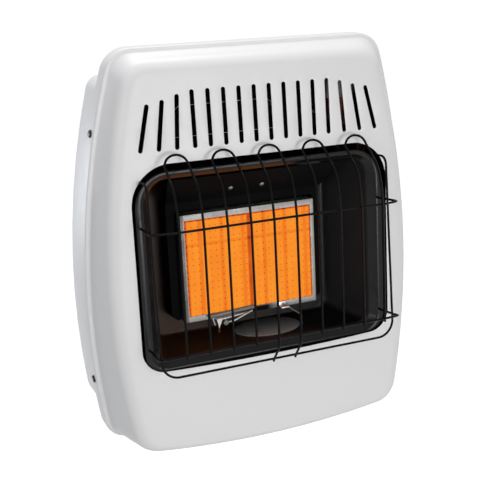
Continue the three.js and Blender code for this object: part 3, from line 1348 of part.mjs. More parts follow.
// cross wire: behind the legs, round outside the frame rod and back into the firebox
function crossWire({ h, tipH, holeH }) {
  const mix = THREE.MathUtils.lerp;
  const behind = GUARD_D + ROD_SEAT;
  const rod = rodDepth(h);
  const half = [
    [0, behind, h],
    [LEG_PITCH * (HAIRPINS - 0.3), behind, mix(h, tipH, 0.1)],
    [FRAME_ROD_X - 2, behind + 6, mix(h, tipH, 0.45)],
    [FRAME_ROD_X + 4, mix(behind, WIRE_TIP_D, 0.65), mix(h, tipH, 0.8)],
    [FRAME_ROD_X + 5.2, WIRE_TIP_D, tipH],
    [FRAME_ROD_X + ROD_SEAT + 0.4, rod + 2, mix(tipH, holeH, 0.3)],
    [mix(FRAME_ROD_X + ROD_SEAT, HOLE_X, 0.6), -6, mix(tipH, holeH, 0.7)],
    [HOLE_X, 2, holeH],
    [HOLE_X, BEZEL_D + 7, holeH],
  ];
  const left = half.slice(1).reverse().map(([x, d, z]) => [-x, d, z]);
  return wire(leanAll([...left, ...half]), WIRE_R);
}

// outer rod: up both sides of the window and in past its corners, its ends behind the panel
function guardFrame() {
  const seat = BEZEL_CORNER + WIRE_R + SEAT;
  const endX = BEZEL_HALF - BEZEL_CORNER + seat * Math.cos(ROD_END_ANGLE);
  const endH = BEZEL_TOP - BEZEL_CORNER + seat * Math.sin(ROD_END_ANGLE);
  const half = [
    [FRAME_ROD_X, FRAME_ROD_LOW_D, FRAME_ROD_H],
    [FRAME_ROD_X, FRAME_ROD_UP_D, ROD_PASS_H],
    [ROD_PASS_X, BEZEL_D - 3.6, ROD_PASS_H],
    [endX, BEZEL_D + 5, endH],
  ];
  const left = half.slice().reverse().map(([x, d, h]) => [-x, d, h]);
  const [a, b, c, d, e, f, g, k] = leanAll([...left, ...half]);
  const up = rounded([a, b, c, d], 8, 4);
  const across = rounded([c, d, e, f], FRAME_ROD_CORNER, 6).slice(1, -1);
  const down = rounded([e, f, g, k], 8, 4);
  return wire([...up.slice(0, -1), ...across, ...down.slice(1)], WIRE_R);
}

// ---- scene graph -----------------------------------------------------------------------

function finish(color, roughness, metalness, emissive = 0x000000) {
  return new THREE.MeshStandardMaterial({ color, roughness, metalness, emissive });
}

const whiteEnamel = finish(0xe9e8e4, 0.35, 0);
const blackEnamel = finish(0x17171a, 0.5, 0);
const blackWire = finish(0x121214, 0.45, 0);
const galvanised = finish(0x9a9da0, 0.45, 0.9);
const plainSteel = finish(0xb9bab8, 0.38, 0.9);
const plaqueCeramic = finish(0xf08a2c, 0.85, 0, 0xb84a08);
const fibre = finish(0xd9d4c8, 0.95, 0);
const brass = finish(0xb08d45, 0.35, 0.9);
const castAlloy = finish(0x8d9092, 0.5, 0.8);
const blackPlastic = finish(0x1b1b1d, 0.5, 0);
const redPlastic = finish(0x9c2119, 0.4, 0);
const copper = finish(0xa8632f, 0.35, 0.9);
const leadRubber = finish(0x24201f, 0.7, 0);

const heater = new THREE.Group();
const front = new THREE.Group();
front.position.set(0, FACE_Y, FACE_Z);
front.rotation.x = -LEAN;
heater.add(front);

function place(parent, name, geometry, material) {
  const mesh = new THREE.Mesh(geometry, material);
  mesh.name = name;
  parent.add(mesh);
}

place(heater, 'front_panel', frontPanel(), whiteEnamel);
place(heater, 'cabinet_shell', cabinetShell(), whiteEnamel);
place(heater, 'back_plate', backPlate(), galvanised);
place(heater, 'wall_bracket', wallBracket(), galvanised);
WALL_SCREWS.forEach(([x, z], i) => place(heater, `wall_screw_${i + 1}`, wallScrew(x, z), plainSteel));
[-1, 1].forEach((side) => {
  SIDE_SCREW_Z.forEach((z, i) => {
    const name = `side_screw_${side < 0 ? 'left' : 'right'}_${i + 1}`;
    place(heater, name, sideScrew(side, z), blackEnamel);
  });
});
place(heater, 'rear_deflector', rearDeflector(), galvanised);

place(front, 'firebox_shell', fireboxShell(), blackEnamel);
place(front, 'firebox_bezel', fireboxBezel(), blackEnamel);
place(heater, 'firebox_rail_left', fireboxRail(-1), galvanised);
place(heater, 'firebox_rail_right', fireboxRail(1), galvanised);
place(front, 'floor_disc', floorDisc(), blackEnamel);
place(front, 'deflector_hood', deflectorHood(), blackEnamel);
RIVET_X.forEach((x, i) => place(front, `hood_rivet_${i + 1}`, hoodRivet(x), plainSteel));

place(front, 'burner_housing', burnerHousing(), blackEnamel);
place(front, 'burner_plenum', burnerPlenum(), galvanised);
place(front, 'plaque_frame', plaqueFrame(), plainSteel);
place(front, 'plaque_gasket', plaqueGasket(), fibre);
place(front, 'plaque_left', plaque(-1), plaqueCeramic);
place(front, 'plaque_right', plaque(1), plaqueCeramic);

place(front, 'mixing_duct', mixingDuct(), galvanised);
place(front, 'injector', injector(), brass);
place(heater, 'injector_holder', injectorHolder(), castAlloy);
place(front, 'pilot_bracket', pilotBracket(), plainSteel);
place(front, 'pilot_burner', pilotBurner(), brass);
place(front, 'thermocouple', thermocouple(), plainSteel);
place(heater, 'pilot_tube', pilotTube(), copper);
place(front, 'electrode_bracket', electrodeBracket(), plainSteel);
place(front, 'spark_electrode', sparkElectrode(), plainSteel);

place(heater, 'gas_valve', gasValve(), castAlloy);
place(heater, 'valve_nut', valveNut(), plainSteel);
place(heater, 'press_washer', pressWasher(), plainSteel);
place(heater, 'knob_spring', knobSpring(), plainSteel);
place(heater, 'valve_stem', valveStem(), brass);
place(heater, 'control_knob', controlKnob(), blackPlastic);
place(heater, 'igniter_body', igniterBody(), blackPlastic);
place(heater, 'igniter_nut', igniterNut(), plainSteel);
place(heater, 'igniter_spring', igniterSpring(), plainSteel);
place(heater, 'igniter_button', igniterButton(), redPlastic);
place(heater, 'igniter_lead', igniterLead(), leadRubber);
place(heater, 'pressure_regulator', pressureRegulator(), castAlloy);
place(heater, 'inlet_fitting', inletFitting(), brass);
place(heater, 'supply_tube', supplyTube(), copper);
place(heater, 'manifold_tube', manifoldTube(), copper);

for (let i = 0; i < HAIRPINS; i++) place(heater, `guard_hairpin_${i + 1}`, hairpin(i), blackWire);
place(heater, 'guard_wire_upper', crossWire(UPPER_WIRE), blackWire);
place(heater, 'guard_wire_lower', crossWire(LOWER_WIRE), blackWire);
place(heater, 'guard_frame', guardFrame(), blackWire);

export default heater;
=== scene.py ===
"""Looks of a wall mounted infrared gas heater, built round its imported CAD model.

Lengths here are in millimetres until a mesh is made. The front of the heater leans back a
little, so what sits behind its window is laid out in a leaning frame: x across, d inwards
from the face, h upwards from the window's middle.
"""

import json
import math

import bmesh
import bpy
from mathutils import Matrix, Vector

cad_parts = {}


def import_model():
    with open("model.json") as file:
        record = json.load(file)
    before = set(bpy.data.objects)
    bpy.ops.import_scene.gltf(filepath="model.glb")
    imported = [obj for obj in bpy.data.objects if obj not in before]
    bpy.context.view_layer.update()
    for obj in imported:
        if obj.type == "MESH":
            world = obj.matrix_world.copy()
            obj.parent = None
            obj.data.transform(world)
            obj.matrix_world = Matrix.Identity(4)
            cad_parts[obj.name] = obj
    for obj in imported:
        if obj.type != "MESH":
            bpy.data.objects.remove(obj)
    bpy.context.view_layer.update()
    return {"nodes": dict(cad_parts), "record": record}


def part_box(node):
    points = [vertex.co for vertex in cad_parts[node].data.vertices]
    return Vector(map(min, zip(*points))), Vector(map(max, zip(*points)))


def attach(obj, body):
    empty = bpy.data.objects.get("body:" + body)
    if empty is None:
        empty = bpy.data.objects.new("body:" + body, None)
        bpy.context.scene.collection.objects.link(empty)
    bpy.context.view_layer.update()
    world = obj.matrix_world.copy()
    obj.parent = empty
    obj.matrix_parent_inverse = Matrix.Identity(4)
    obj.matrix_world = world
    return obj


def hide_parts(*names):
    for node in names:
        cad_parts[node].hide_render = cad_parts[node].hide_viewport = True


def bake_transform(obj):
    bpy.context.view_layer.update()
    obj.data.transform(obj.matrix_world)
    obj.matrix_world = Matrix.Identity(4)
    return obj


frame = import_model()
nodes = frame["nodes"]
body_of = {n: body for body, names in frame["record"]["behaviour"]["bodies"].items() for n in names}
slot_of = {s["node"]: s["material_slot"] for s in frame["record"]["subparts"]}

# the body that each spring's upper end moves with
SPRINGS = {"knob_spring": "press_cup", "igniter_spring": "button"}

MM = 0.001

# ---- sizes -------------------------------------------------------------------------------

SHEET = 1.2
SEAT = 0.3
LEAN = math.radians(4.2)
FACE_Y = -118.5
FACE_Z = -14.6
FACE_BOW = 1.3e-4
FACE_GRID = 12          # the face bends along the lines of this grid
FACE_GRID_X = 204
FACE_GRID_Z = 258
TOP_LEAN = 0.04
TOP_LEAN_FROM = 125
TOP_LEAN_BLEND = 40

RIM_HALF = 224.85
RIM_PEAK_Z = -56
RIM_SIDE_R = 1016
RIM_TOP = 248
RIM_BOTTOM = -259
RIM_ARCH_R = 1530
RIM_TOP_CORNER = 35
RIM_BOTTOM_CORNER = 31
RIM_Y = -69
RIM_BEND = 3
RETURN_DEPTH = 21
FLANGE_WIDTH = 5.4
FLANGE_WIDTH_BOTTOM = 2.5
WALL_DRAFT = 11.5
WALL_TOP_DRAFT = 6.5
FACE_PEAK_Z = -37
FACE_SIDE_R = 950
ROLL_WIDTH = 17
ROLL_DEPTH = 11.4
ROLL_WIDTH_BOTTOM = 9
ROLL_TURN = math.radians(67)

WINDOW_HALF = 173.4
WINDOW_TOP = 129.4
WINDOW_BOTTOM = -129.4
WINDOW_TOP_CORNER = 50
WINDOW_BOTTOM_CORNER = 29
WINDOW_ARCH_R = 5000
STRAIGHT_SLOTS = 10
SLOT_PITCH = 20
SLOT_WIDTH = 5.1
SLOT_TOP = 213.9
SLOT_BOTTOM = 144.9
OUTER_SLOTS = [(108.8, 209.8, 112.7), (127.6, 204.3, 135.3), (146.4, 200.6, 158)]
EDGE_ROUND = 0.4        # rounding of every punched edge

BEZEL_HALF = 169.2
BEZEL_TOP = 120
BEZEL_BOTTOM = -131
BEZEL_D = 6.6
BEZEL_CORNER = 44
BEZEL_BOTTOM_CORNER = 26
BEZEL_FLANGE = 9
BEZEL_FLANGE_LOW = 6
BEZEL_FLANGE_HIGH = 5
LIP_HALF = 149.5
LIP_TOP = 108.9
LIP_BOTTOM = -117.8
LIP_D = 15
LIP_DEPTH = 8
TUB_EDGE_D = LIP_D + 1.6
TUB_BACK_D = 97
TUB_BACK_HALF = 131
TUB_COLLAR_D = 24
TUB_COVE = 4

WIRE_R = 1.5
LEG_PITCH = 30.1
HAIRPINS = 5
GUARD_D = -51.1
LOOP_TOP_H = 140.8
LOOP_RISE = 12
LOOP_D = -12.5
LEG_END_H = -96.8
UPPER_WIRE = (56.5, 54.6, 53.7)
LOWER_WIRE = (-93.3, -98.2, -99.1)
WIRE_TIP_D = -30.5
FRAME_ROD_X = 160.8
FRAME_ROD_H = -125.3
FRAME_ROD_TOP_H = 110.5
FRAME_ROD_UP_D = -18
FRAME_ROD_LOW_D = -29
ROD_END_TURN = math.radians(43)     # where on the bezel's corner the frame rod ends
ROD_PASS_TURN = math.radians(40)    # where on the window's corner it passes
HOLE_X = 162
PLATE_OUTLINE = [(-86, 124), (-85, 154), (-73, 164.5), (51, 164.5), (65, 152.5), (66, 124), (-86, 124)]
PLATE_EDGE_Y = -7
PLATE_EDGE_R = 0.5

# the photograph's camera, in the heater's frame
CAMERA_AT = (-510.104, -1199.336, 371.540)
CAMERA_RIGHT = (0.914378, -0.404372, -0.019875)
CAMERA_DOWN = (-0.135621, -0.259677, -0.956125)
CAMERA_FOCUS = 999.4978 / 480      # focal length as a share of the picture's width

SHARP = 38              # degrees between faces from which an edge stays sharp
SHARP_END = 60          # the same where a wire ends
TUBE_ROUNDNESS = 4      # bevel resolution of the wires
FLOOR_Z = -0.75         # metres

# ---- places ------------------------------------------------------------------------------


def lean(x, d, h):
    """A point of the leaning frame, in the heater's frame."""
    c, s = math.cos(LEAN), math.sin(LEAN)
    return Vector((x, FACE_Y + d * c + h * s, FACE_Z - d * s + h * c))


def face_depth(x, h):
    over = max(h - TOP_LEAN_FROM, 0)
    blend = min(over, TOP_LEAN_BLEND)
    return FACE_BOW * x * x + TOP_LEAN * (blend**2 / (2 * TOP_LEAN_BLEND) + (over - blend))


def face_y(x, z):
    """How far back the face lies at a point of the front view."""
    c, s = math.cos(LEAN), math.sin(LEAN)
    y = FACE_Y
    for _ in range(4):
        h = (y - FACE_Y) * s + (z - FACE_Z) * c
        y = lean(x, face_depth(x, h), h).y
    return y


def mix(a, b, t):
    return a + (b - a) * t


def arc(centre, radius, start, end, steps):
    cx, cz = centre
    angles = [start + (end - start) * i / steps for i in range(steps + 1)]
    return [(cx + radius * math.cos(a), cz + radius * math.sin(a)) for a in angles]


def mirrored(right, top_mid):
    """A right half, from the bottom's middle to the top's, and its mirror image."""
    left = [(-x, z) for x, z in reversed(right[1:])]
    return right + [top_mid] + left


def fillet_centre(a, ra, b, rb):
    """Middle of the arc that touches two circles from the inside, on the right."""
    a, b = Vector(a), Vector(b)
    gap = b - a
    distance = gap.length
    along = (ra**2 - rb**2 + distance**2) / (2 * distance)
    off = math.sqrt(ra**2 - along**2)
    gap.normalize()
    foot = a + gap * along
    ends = [foot + Vector((-gap.y, gap.x)) * off, foot + Vector((gap.y, -gap.x)) * off]
    return max(ends, key=lambda p: p.x)


def barrel(half, peak, side_r, top, bottom, arch_r, top_corner, bottom_corner):
    """Outline with an arched bottom, bowed sides and a straight top."""
    side = Vector((half - side_r, peak))
    arch = Vector((0, bottom + arch_r))
    low = fillet_centre(side, side_r - bottom_corner, arch, arch_r - bottom_corner)
    high_z = top - top_corner
    high = Vector((side.x + math.sqrt((side_r - top_corner) ** 2 - (high_z - peak) ** 2), high_z))
    low_arch = math.atan2(low.y - arch.y, low.x - arch.x)
    low_side = math.atan2(low.y - side.y, low.x - side.x)
    high_side = math.atan2(high.y - side.y, high.x - side.x)
    right = arc(arch, arch_r, -math.pi / 2, low_arch, 18)
    right += arc(low, bottom_corner, low_arch, low_side, 12)[1:]
    right += arc(side, side_r, low_side, high_side, 30)[1:]
    right += arc(high, top_corner, high_side, math.pi / 2, 14)[1:]
    right += [(high.x * (1 - i / 12), top) for i in range(1, 12)]
    return mirrored(right, (0, top))


def rounded_frame(half, bottom, top, top_corner, bottom_corner):
    steps = 12
    low = (half - bottom_corner, bottom + bottom_corner)
    high = (half - top_corner, top - top_corner)
    right = arc(low, bottom_corner, -math.pi / 2, 0, steps)
    right += arc(high, top_corner, 0, math.pi / 2, steps)
    return right + [(-x, z) for x, z in reversed(right)]


# ---- meshes ------------------------------------------------------------------------------


def add(name, bm, material, replaces, cut_edge=None):
    """A finished piece from a bmesh in millimetres; its faces of material 1 are cut edges."""
    mesh = bpy.data.meshes.new(name)
    bmesh.ops.scale(bm, vec=(MM, MM, MM), verts=bm.verts)
    bm.to_mesh(mesh)
    bm.free()
    dress(name, mesh, material, "heater", replaces)
    if cut_edge:
        mesh.materials.append(cut_edge)


def dress(name, mesh, material, body, replaces, sharp=SHARP):
    """A piece from a mesh in metres. body is None where it bends between two bodies."""
    mesh.shade_smooth()
    mesh.set_sharp_from_angle(angle=math.radians(sharp))
    mesh.materials.append(material)
    piece = bpy.data.objects.new(name, mesh)
    bpy.context.scene.collection.objects.link(piece)
    if body:
        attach(piece, body)
    if replaces:
        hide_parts(*replaces)


def join_rings(bm, a, b, material_index=0):
    for i in range(len(a)):
        j = (i + 1) % len(a)
        bm.faces.new((a[i], a[j], b[j], b[i])).material_index = material_index


def band(rings, edge_bands):
    """Closed band of rings, each a list of points; the first bands are the piece's cut edge."""
    bm = bmesh.new()
    made = [[bm.verts.new(p) for p in ring] for ring in rings]
    for i, (a, b) in enumerate(zip(made, made[1:] + [made[0]])):
        join_rings(bm, a, b, int(i < edge_bands))
    bmesh.ops.recalc_face_normals(bm, faces=bm.faces)
    return bm


def ring_at(outline, depth):
    return [Vector((x, depth(x, z) if callable(depth) else depth, z)) for x, z in outline]


def tube(name, points, radius, material, replaces=()):
    """Round wire or tube through points."""
    curve = bpy.data.curves.new(name, "CURVE")
    curve.dimensions = "3D"
    curve.bevel_depth = radius * MM
    curve.bevel_resolution = TUBE_ROUNDNESS
    curve.use_fill_caps = True
    spline = curve.splines.new("POLY")
    spline.points.add(len(points) - 1)
    for point, at in zip(spline.points, points):
        point.co = (*(Vector(at) * MM), 1)
    holder = bpy.data.objects.new(name + "_path", curve)
    bpy.context.scene.collection.objects.link(holder)
    mesh = bpy.data.meshes.new_from_object(holder.evaluated_get(bpy.context.evaluated_depsgraph_get()))
    bpy.data.objects.remove(holder)
    bpy.data.curves.remove(curve)
    mesh.name = name
    dress(name, mesh, material, "heater", replaces, SHARP_END)


def rounded(corners, radius, steps):
    """Corner points rounded off with arcs, as large as the legs beside them allow."""
    points = [Vector(corners[0])]
    for before, corner, after in zip(corners, corners[1:], corners[2:]):
        before, corner, after = Vector(before), Vector(corner), Vector(after)
        back, on = before - corner, after - corner
        half = back.angle(on) / 2
        if half > math.radians(89.5):
            points.append(corner)
            continue
        reach = min(radius / math.tan(half), 0.49 * back.length, 0.49 * on.length)
        r = reach * math.tan(half)
        back.normalize()
        on.normalize()
        centre = corner + (back + on).normalized() * (r / math.sin(half))
        start, end = corner + back * reach - centre, corner + on * reach - centre
        turn = start.rotation_difference(end)
        for k in range(steps + 1):
            points.append(Matrix.Rotation(turn.angle * k / steps, 3, turn.axis) @ start + centre)
    points.append(Vector(corners[-1]))
    return points


def refined(node, material, bevel):
    """A CAD node with its flat faces made whole and its edges rounded a little."""
    bm = bmesh.new()
    bm.from_mesh(nodes[node].data)
    bmesh.ops.remove_doubles(bm, verts=bm.verts, dist=1e-6)
    bmesh.ops.dissolve_limit(bm, angle_limit=math.radians(1), verts=bm.verts, edges=bm.edges)
    edges = [e for e in bm.edges if e.is_manifold and e.calc_face_angle() > math.radians(40)]
    bmesh.ops.bevel(bm, geom=edges, offset=bevel * MM, segments=3, profile=0.5,
                    affect="EDGES", clamp_overlap=True)
    mesh = bpy.data.meshes.new(node + "_skin")
    bm.to_mesh(mesh)
    bm.free()
    body = None if node in SPRINGS else body_of[node]
    dress(node + "_skin", mesh, material, body, [node])


# ---- materials ---------------------------------------------------------------------------


class Look:
    """A node material on one Principled shader, patterned in the object's own space."""

    def __init__(self, name, color, roughness, metallic=0.0, specular=0.5):
        self.material = bpy.data.materials.new(name)
        self.material.use_nodes = True
        self.tree = self.material.node_tree
        self.shader = self.tree.nodes["Principled BSDF"]
        self.shader.inputs["Base Color"].default_value = (*color, 1)
        self.shader.inputs["Roughness"].default_value = roughness
        self.shader.inputs["Metallic"].default_value = metallic
        self.shader.inputs["Specular IOR Level"].default_value = specular
        self.place = self.tree.nodes.new("ShaderNodeTexCoord").outputs["Object"]
        self.bumps = None

    def stretched(self, scale):
        node = self.tree.nodes.new("ShaderNodeMapping")
        node.inputs["Scale"].default_value = scale
        self.tree.links.new(self.place, node.inputs["Vector"])
        return node.outputs["Vector"]

    def noise(self, scale, detail=3, rough=0.55, stretch=None):
        node = self.tree.nodes.new("ShaderNodeTexNoise")
        node.inputs["Scale"].default_value = scale
        node.inputs["Detail"].default_value = detail
        node.inputs["Roughness"].default_value = rough
        self.tree.links.new(self.stretched(stretch) if stretch else self.place, node.inputs["Vector"])
        return node.outputs["Fac"]

    def cells(self, scale):
        """A grey of its own for each cell."""
        node = self.tree.nodes.new("ShaderNodeTexVoronoi")
        node.inputs["Scale"].default_value = scale
        self.tree.links.new(self.place, node.inputs["Vector"])
        grey = self.tree.nodes.new("ShaderNodeRGBToBW")
        self.tree.links.new(node.outputs["Color"], grey.inputs["Color"])
        return grey.outputs["Val"]

    def spread(self, value, low, high, start=0.0, end=1.0):
        """low where value is start or less, high where it is end or more."""
        node = self.tree.nodes.new("ShaderNodeMapRange")
        for name, v in (("From Min", start), ("From Max", end), ("To Min", low), ("To Max", high)):
            node.inputs[name].default_value = v
        self.tree.links.new(value, node.inputs["Value"])
        return node.outputs["Result"]

    def ramp(self, value, *stops):
        node = self.tree.nodes.new("ShaderNodeValToRGB")
        ramp = node.color_ramp
        while len(ramp.elements) < len(stops):
            ramp.elements.new(0.5)
        for element, (at, color) in zip(ramp.elements, stops):
            element.position = at
            element.color = (*color, 1)
        self.tree.links.new(value, node.inputs["Fac"])
        return node.outputs["Color"]

    def to(self, name, output):
        self.tree.links.new(output, self.shader.inputs[name])

    def bump(self, height, strength, distance):
        node = self.tree.nodes.new("ShaderNodeBump")
        node.inputs["Strength"].default_value = strength
        node.inputs["Distance"].default_value = distance * MM
        self.tree.links.new(height, node.inputs["Height"])
        if self.bumps:
            self.tree.links.new(self.bumps, node.inputs["Normal"])
        self.bumps = node.outputs["Normal"]
        self.to("Normal", self.bumps)

    def math(self, operation, a, b=None):
        node = self.tree.nodes.new("ShaderNodeMath")
        node.operation = operation
        for socket, value in zip(node.inputs, (a, b)):
            if value is None:
                continue
            if isinstance(value, (int, float)):
                socket.default_value = value
            else:
                self.tree.links.new(value, socket)
        return node.outputs["Value"]

    def along(self, axis, vector=None):
        node = self.tree.nodes.new("ShaderNodeSeparateXYZ")
        self.tree.links.new(vector or self.place, node.inputs["Vector"])
        return node.outputs[axis]

    def normal(self):
        return self.tree.nodes.new("ShaderNodeNewGeometry").outputs["Normal"]

    def vector_math(self, operation, a, b, output="Vector"):
        node = self.tree.nodes.new("ShaderNodeVectorMath")
        node.operation = operation
        for socket, value in zip(node.inputs, (a, b)):
            if isinstance(value, Vector):
                socket.default_value = value
            else:
                self.tree.links.new(value, socket)
        return node.outputs[output]

    def facing_back(self):
        """1 where the surface faces the wall."""
        return self.math("GREATER_THAN", self.along("Y", self.normal()), 0.2)

    def facing(self, centre):
        """1 where the surface faces a point, as the inside of a box faces its middle."""
        outward = self.vector_math("SUBTRACT", self.place, centre)
        turned = self.vector_math("DOT_PRODUCT", self.normal(), outward, "Value")
        return self.math("LESS_THAN", turned, 0.0)

    def mottled(self, value, color, vary):
        """The colour, a little darker where value is low and lighter where it is high."""
        return self.ramp(value, (0.3, shade(color, 1 - vary)), (0.7, shade(color, 1 + vary)))

    def blend(self, share, a, b):
        """Colour a where share is 0 and b where it is 1; each is a colour or an output."""
        node = self.tree.nodes.new("ShaderNodeMix")
        node.data_type = "RGBA"
        self.tree.links.new(share, node.inputs[0])
        for socket, value in ((node.inputs[6], a), (node.inputs[7], b)):
            if isinstance(value, tuple):
                socket.default_value = (*value, 1)
            else:
                self.tree.links.new(value, socket)
        return node.outputs[2]


def shade(color, k):
    return tuple(min(c * k, 1) for c in color)


def enamel(name, color, roughness, peel, vary=0.01, specular=0.5, inside_shade=None):
    """Smooth paint with a slight orange peel; the last argument gives the share painted dark inside as
    shade.
    """
    look = Look(name, color, roughness, specular=specular)
    paint = look.mottled(look.noise(7, 2), color, vary)
    if inside_shade:
        paint = look.blend(inside_shade(look), paint, INSIDE_SHADE)
    look.to("Base Color", paint)
    look.to("Roughness", look.spread(look.noise(60, 4), roughness - 0.04, roughness + 0.04, 0.3, 0.7))
    look.bump(look.noise(420, 2), 0.1, peel)
    return look.material


def painted_glow_enamel(name, color, glow_reflection_tint, roughness, peel):
    """Black enamel with a painted reflection of the glow, brown on its left and below it, and painted
    shade on all but its side walls.
    """
    look = Look(name, color, roughness, specular=0.2)
    across, up = look.along("X"), look.along("Z")
    # painted reflection of the glow: a brown share, strongest on the left and low down
    left = look.spread(across, 1.0, 0.0, -0.09, 0.06)
    low = look.spread(up, 1.0, 0.35, -0.125, -0.09)
    cloud = look.spread(look.noise(14, 3), 0.75, 1.15, 0.3, 0.7)
    share = look.math("MULTIPLY", look.math("MULTIPLY", left, low), cloud)
    # painted shade: only the side walls keep the full colour; floor, back and top are painted far
    # darker
    lit_wall_share = look.spread(look.math("ABSOLUTE", look.along("X", look.normal())), 0.0, 1.0, 0.6, 0.9)
    plain = look.blend(lit_wall_share, shade(color, 0.12), color)
    look.to("Base Color", look.blend(share, plain, glow_reflection_tint))
    look.to("Roughness", look.spread(look.noise(40, 4), roughness - 0.05, roughness + 0.07, 0.3, 0.7))
    look.bump(look.noise(420, 2), 0.1, peel)
    return look.material


def brushed(name, color, roughness, stretch, vary=0.12, metallic=1.0):
    look = Look(name, color, roughness, metallic=metallic)
    streaks = look.noise(260, 4, 0.6, stretch)
    look.to("Base Color", look.mottled(streaks, color, vary))
    look.to("Roughness", look.spread(look.noise(35, 4), roughness - 0.08, roughness + 0.1, 0.3, 0.7))
    look.bump(streaks, 0.12, 0.04)
    return look.material


def plaque_frame_steel():
    """Dull sheet round the plaques, darker on its left, with painted shade under the plaques' middle.
    """
    color = (0.27, 0.265, 0.255)
    look = Look("plaque_steel", color, 0.52, metallic=1.0)
    across, up = look.along("X"), look.along("Z")
    streaks = look.noise(260, 4, 0.6, (5, 1, 1))
    clean = look.mottled(streaks, color, 0.06)
    # darker left of the plaques, and painted shade under the plaques' middle
    left = look.spread(across, 0.65, 0.0, -(TILE_EDGE_X + 2) * MM, -TILE_EDGE_X * MM)
    middle = look.spread(look.math("ABSOLUTE", across), 1.0, 0.0, 0.022, 0.04)
    low = look.spread(up, 1.0, 0.0, tile_low.z + 0.002, tile_low.z + 0.006)
    darkening = look.math("MAXIMUM", left, look.math("MULTIPLY", middle, low))
    look.to("Base Color", look.blend(darkening, clean, FRAME_DARK))
    look.to("Roughness", look.spread(look.noise(35, 4), 0.44, 0.62, 0.3, 0.7))
    look.bump(streaks, 0.12, 0.04)
    return look.material


def spangled(name, color):
    look = Look(name, color, 0.4, metallic=1.0)
    flake = look.cells(140)
    look.to("Base Color", look.ramp(flake, (0.2, shade(color, 0.86)), (0.8, shade(color, 1.12))))
    look.to("Roughness", look.spread(flake, 0.32, 0.52, 0.2, 0.8))
    look.bump(look.noise(90, 3), 0.08, 0.05)
    return look.material


def moulded(name, color, roughness, grain=900, vary=0.12):
    look = Look(name, color, roughness)
    look.to("Base Color", look.mottled(look.noise(25, 3), color, vary))
    look.to("Roughness", look.spread(look.noise(120, 3), roughness - 0.05, roughness + 0.07, 0.3, 0.7))
    look.bump(look.noise(grain, 2), 0.2, 0.06)
    return look.material


def turned_metal(name, color, roughness):
    look = Look(name, color, roughness, metallic=1.0)
    rings = look.noise(500, 2, 0.5, (0.2, 0.2, 3.0))
    tarnish = look.noise(50, 3)
    look.to("Base Color", look.ramp(tarnish, (0.3, shade(color, 0.85)), (0.7, shade(color, 1.12))))
    look.to("Roughness", look.spread(look.noise(45, 4), roughness - 0.06, roughness + 0.12, 0.3, 0.7))
    look.bump(rings, 0.08, 0.03)
    return look.material


def glowing():
    """Perforated ceramic: rows of burner holes, and the guard wires' painted shadows as darker strips.
    """
    look = Look("glowing_ceramic", (0.1, 0.03, 0.01), 0.95, specular=0.1)
    across, up = look.along("X"), look.along("Z")

    def wave(value, pitch, at=0.0):
        from_peak = look.math("SUBTRACT", value, at * MM)
        return look.math("COSINE", look.math("MULTIPLY", from_peak, 2 * math.pi / (pitch * MM)))

    def grid(pitch, at, low, high):
        """Dots at the points of a square grid, fading in as the two waves add up to low..high."""
        waves = look.math("ADD", wave(across, pitch, at[0]), wave(up, pitch, at[1]))
        return look.spread(waves, 0.0, 1.0, low, high)

    def strip(value, at, half):
        distance = look.math("ABSOLUTE", look.math("SUBTRACT", value, at * MM))
        return look.spread(distance, 1.0, 0.0, half * 0.5 * MM, half * 1.3 * MM)

    dots = grid(DOT_PITCH, (3.2, TILE_MID_Z + DOT_PITCH / 2), 1.72, 1.92)
    pores = grid(DOT_PITCH / 4, (0, 0), 0.9, 1.7)
    # painted shadows of the guard's legs and of its upper cross wire, darker strips on the glow
    wire_shadows = look.spread(wave(across, LEG_PITCH, -8.6), 0.0, 1.0, 0.72, 0.97)
    wire_shadows = look.math("MAXIMUM", wire_shadows, look.math("MULTIPLY", strip(up, TILE_WIRE_SHADOW_Z, 2.2), 0.8))
    cloud = look.spread(look.noise(60, 4), -0.05, 0.05, 0.3, 0.7)
    streaks = look.spread(look.noise(90, 3, 0.6, (1, 1, 0.12)), -0.05, 0.05, 0.3, 0.7)
    rim = look.math("MAXIMUM", strip(across, 0, 3.2), strip(across, -TILE_EDGE_X, 3.4))
    rim = look.math("MAXIMUM", rim, strip(across, TILE_EDGE_X, 1.6))
    rim = look.math("MAXIMUM", rim, strip(up, TILE_TOP_Z, 1.6))
    heat = look.math("ADD", look.math("ADD", cloud, streaks), 0.86)
    for share, drop in ((wire_shadows, 0.2), (pores, 0.03), (rim, 0.48), (dots, 0.42)):
        heat = look.math("SUBTRACT", heat, look.math("MULTIPLY", share, drop))
    color = look.ramp(heat, (0.0, (0.12, 0.012, 0.001)), (0.35, (0.55, 0.07, 0.004)),
                      (0.62, (0.9, 0.18, 0.01)), (0.9, (1.0, 0.31, 0.02)))
    look.to("Emission Color", color)
    look.shader.inputs["Emission Strength"].default_value = 0.9
    look.to("Base Color", look.ramp(heat, (0.0, (0.04, 0.01, 0.004)), (1.0, (0.1, 0.03, 0.01))))
    look.bump(look.math("ADD", dots, pores), 0.5, 0.3)
    return look.material


def fibrous():
    look = Look("fibre", (0.6, 0.57, 0.5), 0.95)
    threads = look.noise(700, 4, 0.7, (1, 4, 1))
    look.to("Base Color", look.ramp(threads, (0.3, (0.5, 0.47, 0.41)), (0.7, (0.68, 0.65, 0.58))))
    look.bump(threads, 0.5, 0.3)
    return look.material


INSIDE_SHADE = (0.012, 0.012, 0.013)   # painted shade for the insides and the walls of punched holes
PAINT_WHITE = (0.78, 0.772, 0.762)
PAINT_BLACK = (0.004, 0.004, 0.0042)
GLOW_REFLECTION = (0.04, 0.013, 0.003)       # painted reflection of the plaques' glow on the black enamel
# darker colour of the plaque frame: on its left, and painted shade under the plaques' middle
FRAME_DARK = (0.005, 0.0045, 0.004)

